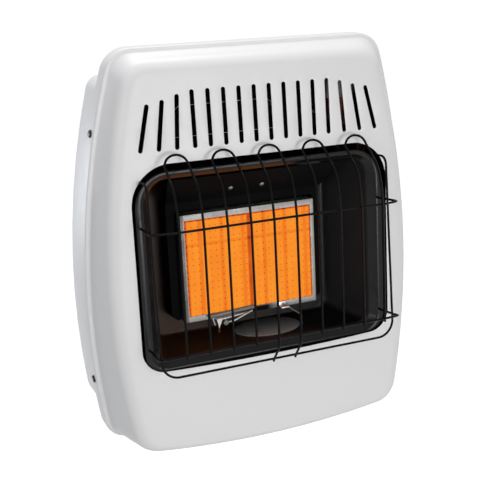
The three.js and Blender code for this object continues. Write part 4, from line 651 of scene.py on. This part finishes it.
DOT_PITCH = 8.3
tile_low, tile_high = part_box("plaque_left")
TILE_EDGE_X = -tile_low.x / MM - 2.6     # the plaque frame's lip hides the rest
TILE_MID_Z = (tile_low.z + tile_high.z) / 2 / MM
TILE_TOP_Z = tile_high.z / MM - 3.4
TILE_WIRE_SHADOW_Z = TILE_MID_Z + 30.5     # where the upper cross wire's painted shadow lies on the ceramic
cabinet_low, cabinet_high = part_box("cabinet_shell")
CABINET_MIDDLE = (cabinet_low + cabinet_high) / 2

# the panel's back and the cabinet's inside are painted dark as shade
WHITE_PANEL = enamel("white_enamel_panel", PAINT_WHITE, 0.42, 0.03, inside_shade=Look.facing_back)
WHITE_CABINET = enamel("white_enamel_cabinet", PAINT_WHITE, 0.42, 0.03,
                       inside_shade=lambda look: look.facing(CABINET_MIDDLE))
BLACK = enamel("black_enamel", shade(PAINT_BLACK, 1.6), 0.2, 0.03, vary=0.2, specular=0.2)
BLACK_MATT = enamel("black_enamel_matt", PAINT_BLACK, 0.65, 0.05, vary=0.2, specular=0.03)
# black enamel with the glow's reflection and shade painted in
BLACK_PAINTED_GLOW = painted_glow_enamel("black_enamel_painted_glow", shade(PAINT_BLACK, 6.5), GLOW_REFLECTION, 0.38, 0.04)
WIRE = enamel("guard_wire_black", PAINT_BLACK, 0.3, 0.03, vary=0.2, specular=0.06)
# painted shade on the walls of the slots and window
PUNCHED_EDGE_SHADE = enamel("cut_edge", INSIDE_SHADE, 0.6, 0.03, vary=0.2, specular=0.1)
# painted highlight: matt grey on the lip's inner edge, a thin light line in place of its glint
LIP_EDGE_HIGHLIGHT = enamel("lip_edge_highlight", (0.03, 0.03, 0.03), 0.7, 0.03, vary=0.2, specular=0.0)
LOOKS = {
    "white_enamel": WHITE_CABINET,
    "black_enamel": BLACK,
    "galvanised": spangled("galvanised", (0.5, 0.51, 0.52)),
    "plain_steel": brushed("plain_steel", (0.5, 0.5, 0.5), 0.38, (1, 1, 5)),
    "plaque_steel": plaque_frame_steel(),
    "dark_steel": brushed("dark_steel", (0.17, 0.172, 0.165), 0.5, (1, 1, 1), vary=0.15, metallic=0.3),
    "glowing_ceramic": glowing(),
    "fibre": fibrous(),
    "brass": turned_metal("brass", (0.6, 0.43, 0.16), 0.3),
    "cast_alloy": moulded("cast_alloy", (0.36, 0.37, 0.38), 0.5, 400, 0.08),
    "black_plastic": moulded("black_plastic", (0.018, 0.018, 0.02), 0.45),
    "red_plastic": moulded("red_plastic", (0.42, 0.02, 0.014), 0.32),
    # painted shade: the tubes are darkened as they sit in the dark behind the heat slots
    "copper": turned_metal("copper", (0.12, 0.052, 0.03), 0.48),
    "lead_rubber": moulded("lead_rubber", (0.03, 0.027, 0.026), 0.6, 600),
}

# ---- front panel -------------------------------------------------------------------------


def rim_outline(inset, bottom_inset=None):
    low = inset if bottom_inset is None else bottom_inset
    return barrel(RIM_HALF - inset, RIM_PEAK_Z, RIM_SIDE_R - inset, RIM_TOP - inset, RIM_BOTTOM + low,
                  RIM_ARCH_R - low, RIM_TOP_CORNER - inset, RIM_BOTTOM_CORNER - low)


def face_outline(inset, bottom_inset):
    half = RIM_HALF - FLANGE_WIDTH - WALL_DRAFT
    top = RIM_TOP - FLANGE_WIDTH - WALL_TOP_DRAFT
    return barrel(half - inset, FACE_PEAK_Z, FACE_SIDE_R - inset, top - inset,
                  RIM_BOTTOM + FLANGE_WIDTH_BOTTOM + bottom_inset, RIM_ARCH_R - bottom_inset,
                  RIM_TOP_CORNER - inset * 0.75, RIM_BOTTOM_CORNER - bottom_inset * 0.5)


def window_outline(grow):
    half, arch_r = WINDOW_HALF + grow, WINDOW_ARCH_R + grow
    top_corner, low_corner = WINDOW_TOP_CORNER + grow, WINDOW_BOTTOM_CORNER + grow
    arch = (0, WINDOW_BOTTOM + WINDOW_ARCH_R)
    low_x = half - low_corner
    low = (low_x, arch[1] - math.sqrt((arch_r - low_corner) ** 2 - low_x**2))
    low_arch = math.atan2(low[1] - arch[1], low[0])
    high = (WINDOW_HALF - WINDOW_TOP_CORNER, WINDOW_TOP - WINDOW_TOP_CORNER)
    right = arc(arch, arch_r, -math.pi / 2, low_arch, 10)
    right += arc(low, low_corner, low_arch, 0, 14)[1:]
    right += arc(high, top_corner, 0, math.pi / 2, 20)
    right += [(high[0] * (1 - i / 8), WINDOW_TOP + grow) for i in range(1, 8)]
    return mirrored(right, (0, WINDOW_TOP + grow))


def slot_outline(slot, grow):
    (top_x, top_h, bottom_x), end = slot, SLOT_WIDTH / 2
    top, bottom = (top_x, top_h - end), (bottom_x, SLOT_BOTTOM + end)
    tilt = math.atan2(top[1] - bottom[1], top[0] - bottom[0]) - math.pi / 2
    radius = end + grow
    return (arc(top, radius, tilt, tilt + math.pi, 10)
            + arc(bottom, radius, tilt + math.pi, tilt + 2 * math.pi, 10))


def on_front(outline):
    points = [lean(x, face_depth(x, h), h) for x, h in outline]
    return [(p.x, p.z) for p in points]


def slots():
    made = []
    for i in range(STRAIGHT_SLOTS):
        x = (i - (STRAIGHT_SLOTS - 1) / 2) * SLOT_PITCH
        made.append((x, SLOT_TOP, x))
    for top_x, top_h, bottom_x in OUTER_SLOTS:
        made += [(side * top_x, top_h, side * bottom_x) for side in (-1, 1)]
    return made


def panel_rings(offset):
    """The panel's section, from the flat of the face round to the edge of its return."""
    rings = []
    steps = 10
    for i in range(1, steps + 1):
        turn = ROLL_TURN * i / steps
        out = math.sin(turn) / math.sin(ROLL_TURN)
        out_low = math.sin(math.pi / 2 * i / steps)
        down = (1 - math.cos(turn)) / (1 - math.cos(ROLL_TURN))
        outline = face_outline(ROLL_WIDTH * (1 - out) + offset * math.sin(turn),
                               ROLL_WIDTH_BOTTOM * (1 - out_low) + offset * out_low)
        fall = ROLL_DEPTH * down + offset * math.cos(turn)
        rings.append(ring_at(outline, lambda x, z, fall=fall: face_y(x, z) + fall))
    flange, flange_low = FLANGE_WIDTH + offset * 0.8, FLANGE_WIDTH_BOTTOM + offset
    rings.append(ring_at(rim_outline(flange + 0.7, flange_low + 0.2), RIM_Y + offset - 0.9))
    rings.append(ring_at(rim_outline(flange - 0.7, flange_low), RIM_Y + offset))
    for i in range(7):
        turn = math.pi / 12 * i
        radius = RIM_BEND - offset
        inset = RIM_BEND - radius * math.sin(turn)
        low = min(inset, FLANGE_WIDTH_BOTTOM * 0.9 + offset)
        rings.append(ring_at(rim_outline(inset, low), RIM_Y + RIM_BEND - radius * math.cos(turn)))
    rings.append(ring_at(rim_outline(offset), RIM_Y + RETURN_DEPTH))
    return rings


def boundary_loops(bm):
    left = {e for e in bm.edges if e.is_boundary}
    loops = []
    while left:
        edge = left.pop()
        first, at = edge.verts
        loop = [first]
        while at is not first:
            loop.append(at)
            edge = next(e for e in at.link_edges if e in left)
            left.remove(edge)
            at = edge.other_vert(at)
        loops.append(loop)
    return loops


def share_of(outline, x, z):
    """A point's squared distance from an outline, the nearest segment and the share along it."""
    best = None
    for i, (ax, az) in enumerate(outline):
        bx, bz = outline[(i + 1) % len(outline)]
        dx, dz = bx - ax, bz - az
        t = min(max(((x - ax) * dx + (z - az) * dz) / (dx * dx + dz * dz), 0), 1)
        gap = (ax + dx * t - x) ** 2 + (az + dz * t - z) ** 2
        if best is None or gap < best[0]:
            best = (gap, i, t)
    return best


def like(ring, shares):
    """The ring's points at those shares of another outline with as many points."""
    return [ring[i].lerp(ring[(i + 1) % len(ring)], t) for _, i, t in shares]


def front_panel():
    outer = face_outline(ROLL_WIDTH, ROLL_WIDTH_BOTTOM)
    hole_makers = [window_outline]
    hole_makers += [lambda grow, slot=slot: slot_outline(slot, grow) for slot in slots()]
    holes = [on_front(make(EDGE_ROUND)) for make in hole_makers]

    bm = bmesh.new()
    edges = []
    for outline in [outer, *holes]:
        verts = [bm.verts.new((x, 0, z)) for x, z in outline]
        edges += [bm.edges.new((a, b)) for a, b in zip(verts, verts[1:] + verts[:1])]
    bmesh.ops.triangle_fill(bm, use_beauty=True, edges=edges, normal=(0, -1, 0))
    for axis, reach in ((Vector((1, 0, 0)), FACE_GRID_X), (Vector((0, 0, 1)), FACE_GRID_Z)):
        for at in range(-reach, reach, FACE_GRID):
            bmesh.ops.bisect_plane(bm, geom=bm.verts[:] + bm.edges[:] + bm.faces[:], dist=1e-3,
                                   plane_co=axis * at, plane_no=axis)
    skin = list(bm.faces)
    loops = boundary_loops(bm)
    for v in bm.verts:
        v.co.y = face_y(v.co.x, v.co.z)
    copy = bmesh.ops.duplicate(bm, geom=bm.verts[:] + bm.edges[:] + skin)
    twin = copy["vert_map"]
    for v in {v for loop in loops for v in loop} | {v for f in skin for v in f.verts}:
        twin[v].co.y += SHEET

    def connect(loop, rings, shares, material_index=0):
        last = loop
        for ring in rings:
            made = [bm.verts.new(p) for p in like(ring, shares)]
            join_rings(bm, last, made, material_index)
            last = made
        return last

    for loop in loops:
        x, z = loop[0].co.x, loop[0].co.z
        found = [share_of(outline, x, z)[0] for outline in [outer, *holes]]
        which = found.index(min(found))
        outline = [outer, *holes][which]
        shares = [share_of(outline, v.co.x, v.co.z) for v in loop]
        if which == 0:
            front = connect(loop, panel_rings(0), shares)
            back = connect([twin[v] for v in loop], panel_rings(SHEET), shares)
            join_rings(bm, front, back)
            continue
        make = hole_makers[which - 1]
        rings = []
        for k in (1, 2, 3):
            turn = math.pi / 6 * k
            at = on_front(make(EDGE_ROUND * (1 - math.sin(turn))))
            sink = EDGE_ROUND * (1 - math.cos(turn))
            rings.append(ring_at(at, lambda x, z, sink=sink: face_y(x, z) + sink))
        rings.append(ring_at(on_front(make(0)), lambda x, z: face_y(x, z) + SHEET))
        # from the rounding's second ring inwards the punched edge takes material 1, the painted shade
        edge = connect(loop, rings[:1], shares)
        join_rings(bm, connect(edge, rings[1:], shares, 1), [twin[v] for v in loop])
    bmesh.ops.recalc_face_normals(bm, faces=bm.faces)
    add("front_panel_skin", bm, WHITE_PANEL, ["front_panel"], PUNCHED_EDGE_SHADE)


# ---- firebox -----------------------------------------------------------------------------


def lean_ring(outline, d):
    return [lean(x, d, h) for x, h in outline]


def firebox_bezel():
    step = BEZEL_HALF - LIP_HALF

    def outer(inset):
        return rounded_frame(BEZEL_HALF - inset, BEZEL_BOTTOM + inset, BEZEL_TOP - inset,
                             BEZEL_CORNER - inset, BEZEL_BOTTOM_CORNER - inset * 0.5)

    def flange(extra):
        half = BEZEL_HALF - BEZEL_FLANGE + extra
        low, high = BEZEL_BOTTOM + BEZEL_FLANGE_LOW - extra, BEZEL_TOP - BEZEL_FLANGE_HIGH + extra
        return rounded_frame(half, low, high, BEZEL_CORNER - BEZEL_FLANGE,
                             BEZEL_BOTTOM_CORNER - BEZEL_FLANGE * 0.5)

    def lip(extra):
        return rounded_frame(LIP_HALF + extra, LIP_BOTTOM - extra, LIP_TOP + extra,
                             BEZEL_CORNER - step + extra, BEZEL_BOTTOM_CORNER - step * 0.5 + extra)

    def between(a, b, t):
        return [(mix(ax, bx, t), mix(az, bz, t)) for (ax, az), (bx, bz) in zip(a, b)]

    def slope(share):
        return lean_ring(between(lip(0), flange(0), share), mix(LIP_D, BEZEL_D, share))

    rings = [
        lean_ring(lip(0), LIP_D + LIP_DEPTH),
        lean_ring(lip(0), LIP_D + 1.2),
        lean_ring(lip(0.3), LIP_D + 0.4),
        *(slope(share) for share in (0.08, 0.14, 0.2, 0.8, 0.9)),
        lean_ring(flange(0.6), BEZEL_D + 0.2),
        lean_ring(flange(1.6), BEZEL_D),
        lean_ring(outer(1.2), BEZEL_D),
        lean_ring(outer(0.35), BEZEL_D + 0.35),
        lean_ring(outer(0), BEZEL_D + 1.2),
        lean_ring(outer(0), BEZEL_D + 5),
        lean_ring(outer(SHEET), BEZEL_D + 5),
        lean_ring(outer(SHEET), BEZEL_D + SHEET),
        lean_ring(flange(SHEET * 0.6), BEZEL_D + SHEET),
        lean_ring(lip(SHEET), LIP_D + SHEET * 0.4),
        lean_ring(lip(SHEET), LIP_D + LIP_DEPTH),
    ]
    # the first four bands, round the lip's inner edge, take the painted highlight
    add("firebox_bezel_skin", band(rings, 4), BLACK, ["firebox_bezel"], LIP_EDGE_HIGHLIGHT)


def firebox_shell():
    gap = 2 * SHEET + 0.4
    half, top, bottom = LIP_HALF + gap, LIP_TOP + gap, LIP_BOTTOM - gap
    step = BEZEL_HALF - LIP_HALF
    corner, low_corner = BEZEL_CORNER - step + gap, BEZEL_BOTTOM_CORNER - step * 0.5 + gap
    rise = (TUB_BACK_D - TUB_COLLAR_D) * math.tan(LEAN)

    def ring(inset, d, pull=0.0):
        t = max(d - TUB_COLLAR_D, 0) / (TUB_BACK_D - TUB_COLLAR_D)
        out = mix(half, TUB_BACK_HALF, t) - inset - pull
        return lean_ring(rounded_frame(out, bottom + rise * t + inset + pull, top - inset - pull,
                                       corner - inset, low_corner - inset), d)

    bend = []
    for k in range(8):
        turn = math.pi / 14 * k
        bend.append((TUB_COVE * (1 - math.cos(turn)), TUB_COVE * (1 - math.sin(turn))))
    inner = [ring(SHEET, TUB_EDGE_D), ring(SHEET, TUB_COLLAR_D), ring(SHEET, TUB_BACK_D - TUB_COVE)]
    inner += [ring(SHEET, TUB_BACK_D - shallow, pull) for pull, shallow in bend[1:]]
    outer = [ring(0, TUB_EDGE_D), ring(0, TUB_COLLAR_D), ring(0, TUB_BACK_D + SHEET - TUB_COVE)]
    outer += [ring(0, TUB_BACK_D + SHEET - shallow, pull) for pull, shallow in bend[1:]]
    bm = bmesh.new()
    rings = [[bm.verts.new(p) for p in points] for points in inner[::-1] + outer]
    for a, b in zip(rings, rings[1:]):
        join_rings(bm, a, b)
    bm.faces.new(rings[0])
    bm.faces.new(rings[-1])
    bmesh.ops.recalc_face_normals(bm, faces=bm.faces)
    add("firebox_shell_skin", bm, BLACK_PAINTED_GLOW, ["firebox_shell"])


# ---- guard -------------------------------------------------------------------------------

# depth and height of a leg's corners, downwards
LEG_PROFILE = [(LOOP_D, LOOP_TOP_H - LOOP_RISE), (-35, 109.4), (-41.6, 100.5), (-45.5, 89.3),
               (-48.8, 74.3), (GUARD_D, UPPER_WIRE[0]), (GUARD_D, LOWER_WIRE[0])]
ROD_SEAT = 2 * WIRE_R + SEAT


def wire(node, points):
    tube(node + "_round", points, WIRE_R, WIRE, [node])


def hairpin(index):
    middle = (index - (HAIRPINS - 1) / 2) * 2 * LEG_PITCH
    half = LEG_PITCH / 2

    def leg(side):
        x = middle + side * half
        corners = [lean(x, d, h) for d, h in LEG_PROFILE]
        if index == (HAIRPINS - 1) // 2:
            corners += [lean(x, GUARD_D + 2, LEG_END_H - 8),
                        lean(x, FRAME_ROD_LOW_D - ROD_SEAT - 3.2, FRAME_ROD_H + 3.5),
                        lean(x, FRAME_ROD_LOW_D - ROD_SEAT + 0.6, FRAME_ROD_H - 2)]
        else:
            corners += [lean(x, GUARD_D, LEG_END_H)]
        return rounded(corners, 30, 6)

    loop = []
    for i in range(1, 24):
        angle = math.pi * i / 24
        rise = math.sin(angle)
        loop.append(lean(middle - half * math.cos(angle) * mix(1, 0.95, min(rise * 3, 1)),
                         LOOP_D + 3 * rise, LOOP_TOP_H - LOOP_RISE + LOOP_RISE * rise))
    name = f"guard_hairpin_{index + 1}"
    wire(name, leg(-1)[::-1] + loop + leg(1))


def cross_wire(name, heights):
    h, tip_h, hole_h = heights
    behind = GUARD_D + ROD_SEAT
    rod = mix(FRAME_ROD_UP_D, FRAME_ROD_LOW_D, (h - FRAME_ROD_TOP_H) / (FRAME_ROD_H - FRAME_ROD_TOP_H))
    half = [
        (0, behind, h),
        (LEG_PITCH * (HAIRPINS - 0.3), behind, mix(h, tip_h, 0.1)),
        (FRAME_ROD_X - 2, behind + 6, mix(h, tip_h, 0.45)),
        (FRAME_ROD_X + 4, mix(behind, WIRE_TIP_D, 0.65), mix(h, tip_h, 0.8)),
        (FRAME_ROD_X + 5.2, WIRE_TIP_D, tip_h),
        (FRAME_ROD_X + ROD_SEAT + 0.4, rod + 2, mix(tip_h, hole_h, 0.3)),
        (mix(FRAME_ROD_X + ROD_SEAT, HOLE_X, 0.6), -6, mix(tip_h, hole_h, 0.7)),
        (HOLE_X, 2, hole_h),
        (HOLE_X, BEZEL_D + 7, hole_h),
    ]
    corners = [lean(-x, d, z) for x, d, z in half[:0:-1]] + [lean(*p) for p in half]
    wire(name, rounded(corners, 12, 5))


def guard_frame():
    seat = BEZEL_CORNER + WIRE_R + SEAT
    end = (BEZEL_HALF - BEZEL_CORNER + seat * math.cos(ROD_END_TURN), BEZEL_D + 5,
           BEZEL_TOP - BEZEL_CORNER + seat * math.sin(ROD_END_TURN))
    reach = WINDOW_TOP_CORNER - WIRE_R - SEAT
    pass_x = WINDOW_HALF - WINDOW_TOP_CORNER + reach * math.cos(ROD_PASS_TURN)
    pass_h = WINDOW_TOP - WINDOW_TOP_CORNER + reach * math.sin(ROD_PASS_TURN)
    half = [
        (FRAME_ROD_X, FRAME_ROD_LOW_D, FRAME_ROD_H),
        (FRAME_ROD_X, FRAME_ROD_UP_D, pass_h),
        (pass_x, BEZEL_D - 3.6, pass_h),
        end,
    ]
    corners = [lean(-x, d, h) for x, d, h in half[::-1]] + [lean(*p) for p in half]
    left, low, right = corners[:4], corners[2:6], corners[4:]
    path = rounded(left, 14, 10)[:-1] + rounded(low, 22, 14)[1:-1] + rounded(right, 14, 10)[1:]
    wire("guard_frame", path)


def plate_edge_highlight():
    """Painted highlight: a bright wire along the edge of a dark plate deep inside, seen as thin lines
    through the heat slots.
    """
    corners = [(x, PLATE_EDGE_Y, z) for x, z in PLATE_OUTLINE]
    tube("plate_edge_highlight", corners, PLATE_EDGE_R, LOOKS["galvanised"])


# ---- everything on the heater ------------------------------------------------------------

front_panel()
firebox_bezel()
firebox_shell()
for i in range(HAIRPINS):
    hairpin(i)
cross_wire("guard_wire_upper", UPPER_WIRE)
cross_wire("guard_wire_lower", LOWER_WIRE)
guard_frame()
plate_edge_highlight()

RIVET = brushed("rivet_steel", (0.22, 0.22, 0.22), 0.5, (1, 1, 1))
# nodes whose finish differs from their slot's
SPECIAL = {
    "pilot_bracket": brushed("bright_steel", (0.7, 0.7, 0.69), 0.5, (1, 1, 5), metallic=0.4),
    "spark_electrode": brushed("dull_steel", (0.16, 0.14, 0.125), 0.5, (1, 1, 5)),
    "hood_rivet_1": RIVET,
    "hood_rivet_2": RIVET,
    # painted shade: the plates deep inside are made dark matt so the heat slots look black
    "back_plate": BLACK_MATT,
    "rear_deflector": BLACK_MATT,
    "burner_housing": BLACK_MATT,
    "deflector_hood": BLACK_MATT,
}
BEVELS = {"cabinet_shell": 0.5, "burner_housing": 0.5, "control_knob": 0.4, "gas_valve": 0.8,
          "pressure_regulator": 0.8, "igniter_button": 0.6}
PLAIN_BEVEL = 0.2

for name, node in nodes.items():
    if not node.hide_render:
        refined(name, SPECIAL.get(name, LOOKS[slot_of[name]]), BEVELS.get(name, PLAIN_BEVEL))

for name, mover in SPRINGS.items():
    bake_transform(bpy.data.objects[name + "_skin"])

# ---- camera, light and floor -------------------------------------------------------------


def camera():
    data = bpy.data.cameras.new("camera")
    data.sensor_width = 36
    data.lens = CAMERA_FOCUS * data.sensor_width
    data.clip_start = 0.05
    eye = bpy.data.objects.new("camera", data)
    right, down = Vector(CAMERA_RIGHT), Vector(CAMERA_DOWN)
    ahead = right.cross(down)
    turn = Matrix((right, -down, -ahead)).transposed()
    eye.matrix_world = Matrix.Translation(Vector(CAMERA_AT) * MM) @ turn.to_4x4()
    bpy.context.scene.collection.objects.link(eye)
    bpy.context.scene.camera = eye


def lamp(name, at, target, size, power, color=(1, 1, 1)):
    data = bpy.data.lights.new(name, "AREA")
    data.shape = "RECTANGLE"
    data.size, data.size_y = size
    data.energy = power
    data.color = color
    light = bpy.data.objects.new(name, data)
    light.location = at
    light.rotation_euler = (Vector(target) - Vector(at)).to_track_quat("-Z", "Y").to_euler()
    bpy.context.scene.collection.objects.link(light)


def seen(tree):
    """1 for rays that come from the camera, a mirror or glass, else 0."""
    path = tree.nodes.new("ShaderNodeLightPath")
    total = path.outputs["Is Camera Ray"]
    for kind in ("Is Glossy Ray", "Is Transmission Ray"):
        both = tree.nodes.new("ShaderNodeMath")
        both.operation = "MAXIMUM"
        tree.links.new(total, both.inputs[0])
        tree.links.new(path.outputs[kind], both.inputs[1])
        total = both.outputs["Value"]
    return total


def floor():
    bm = bmesh.new()
    bmesh.ops.create_circle(bm, cap_ends=True, segments=64, radius=30)
    mesh = bpy.data.meshes.new("floor")
    bm.to_mesh(mesh)
    bm.free()
    color = (0.4, 0.4, 0.4)
    look = Look("floor", color, 0.9, specular=0.1)
    look.to("Base Color", look.mottled(look.noise(3, 2), color, 0.025))
    look.shader.inputs["Emission Color"].default_value = (1, 1, 1, 1)
    look.to("Emission Strength", look.math("MULTIPLY", seen(look.tree), 0.88))
    mesh.materials.append(look.material)
    ground = bpy.data.objects.new("floor", mesh)
    ground.location.z = FLOOR_Z
    bpy.context.scene.collection.objects.link(ground)


def world():
    scene = bpy.context.scene
    scene.world = bpy.data.worlds.new("studio")
    scene.world.use_nodes = True
    tree = scene.world.node_tree
    dome = tree.nodes["Background"]
    dome.inputs["Color"].default_value = (0.88, 0.92, 1.0, 1)
    dome.inputs["Strength"].default_value = 0.4
    plain = tree.nodes.new("ShaderNodeBackground")
    plain.inputs["Strength"].default_value = 1.0
    blend = tree.nodes.new("ShaderNodeMixShader")
    tree.links.new(seen(tree), blend.inputs["Fac"])
    tree.links.new(dome.outputs["Background"], blend.inputs[1])
    tree.links.new(plain.outputs["Background"], blend.inputs[2])
    tree.links.new(blend.outputs["Shader"], tree.nodes["World Output"].inputs["Surface"])
    scene.view_settings.view_transform = "Standard"


camera()
world()
floor()
lamp("front", (0.7, -3.1, 0.0), (0, 0, 0), (1.2, 1.2), 37, (1.0, 0.975, 0.955))
lamp("front_left", (-2.2, -2.2, 0.6), (0, 0, 0), (1.2, 1.2), 15)
lamp("above", (0.0, 0.3, 2.4), (0, -0.05, 0), (1.6, 1.0), 37)
lamp("left", (-0.7, 0.75, -0.03), (-0.2, -0.05, -0.03), (0.3, 0.3), 1.6, (0.88, 0.93, 1.0))
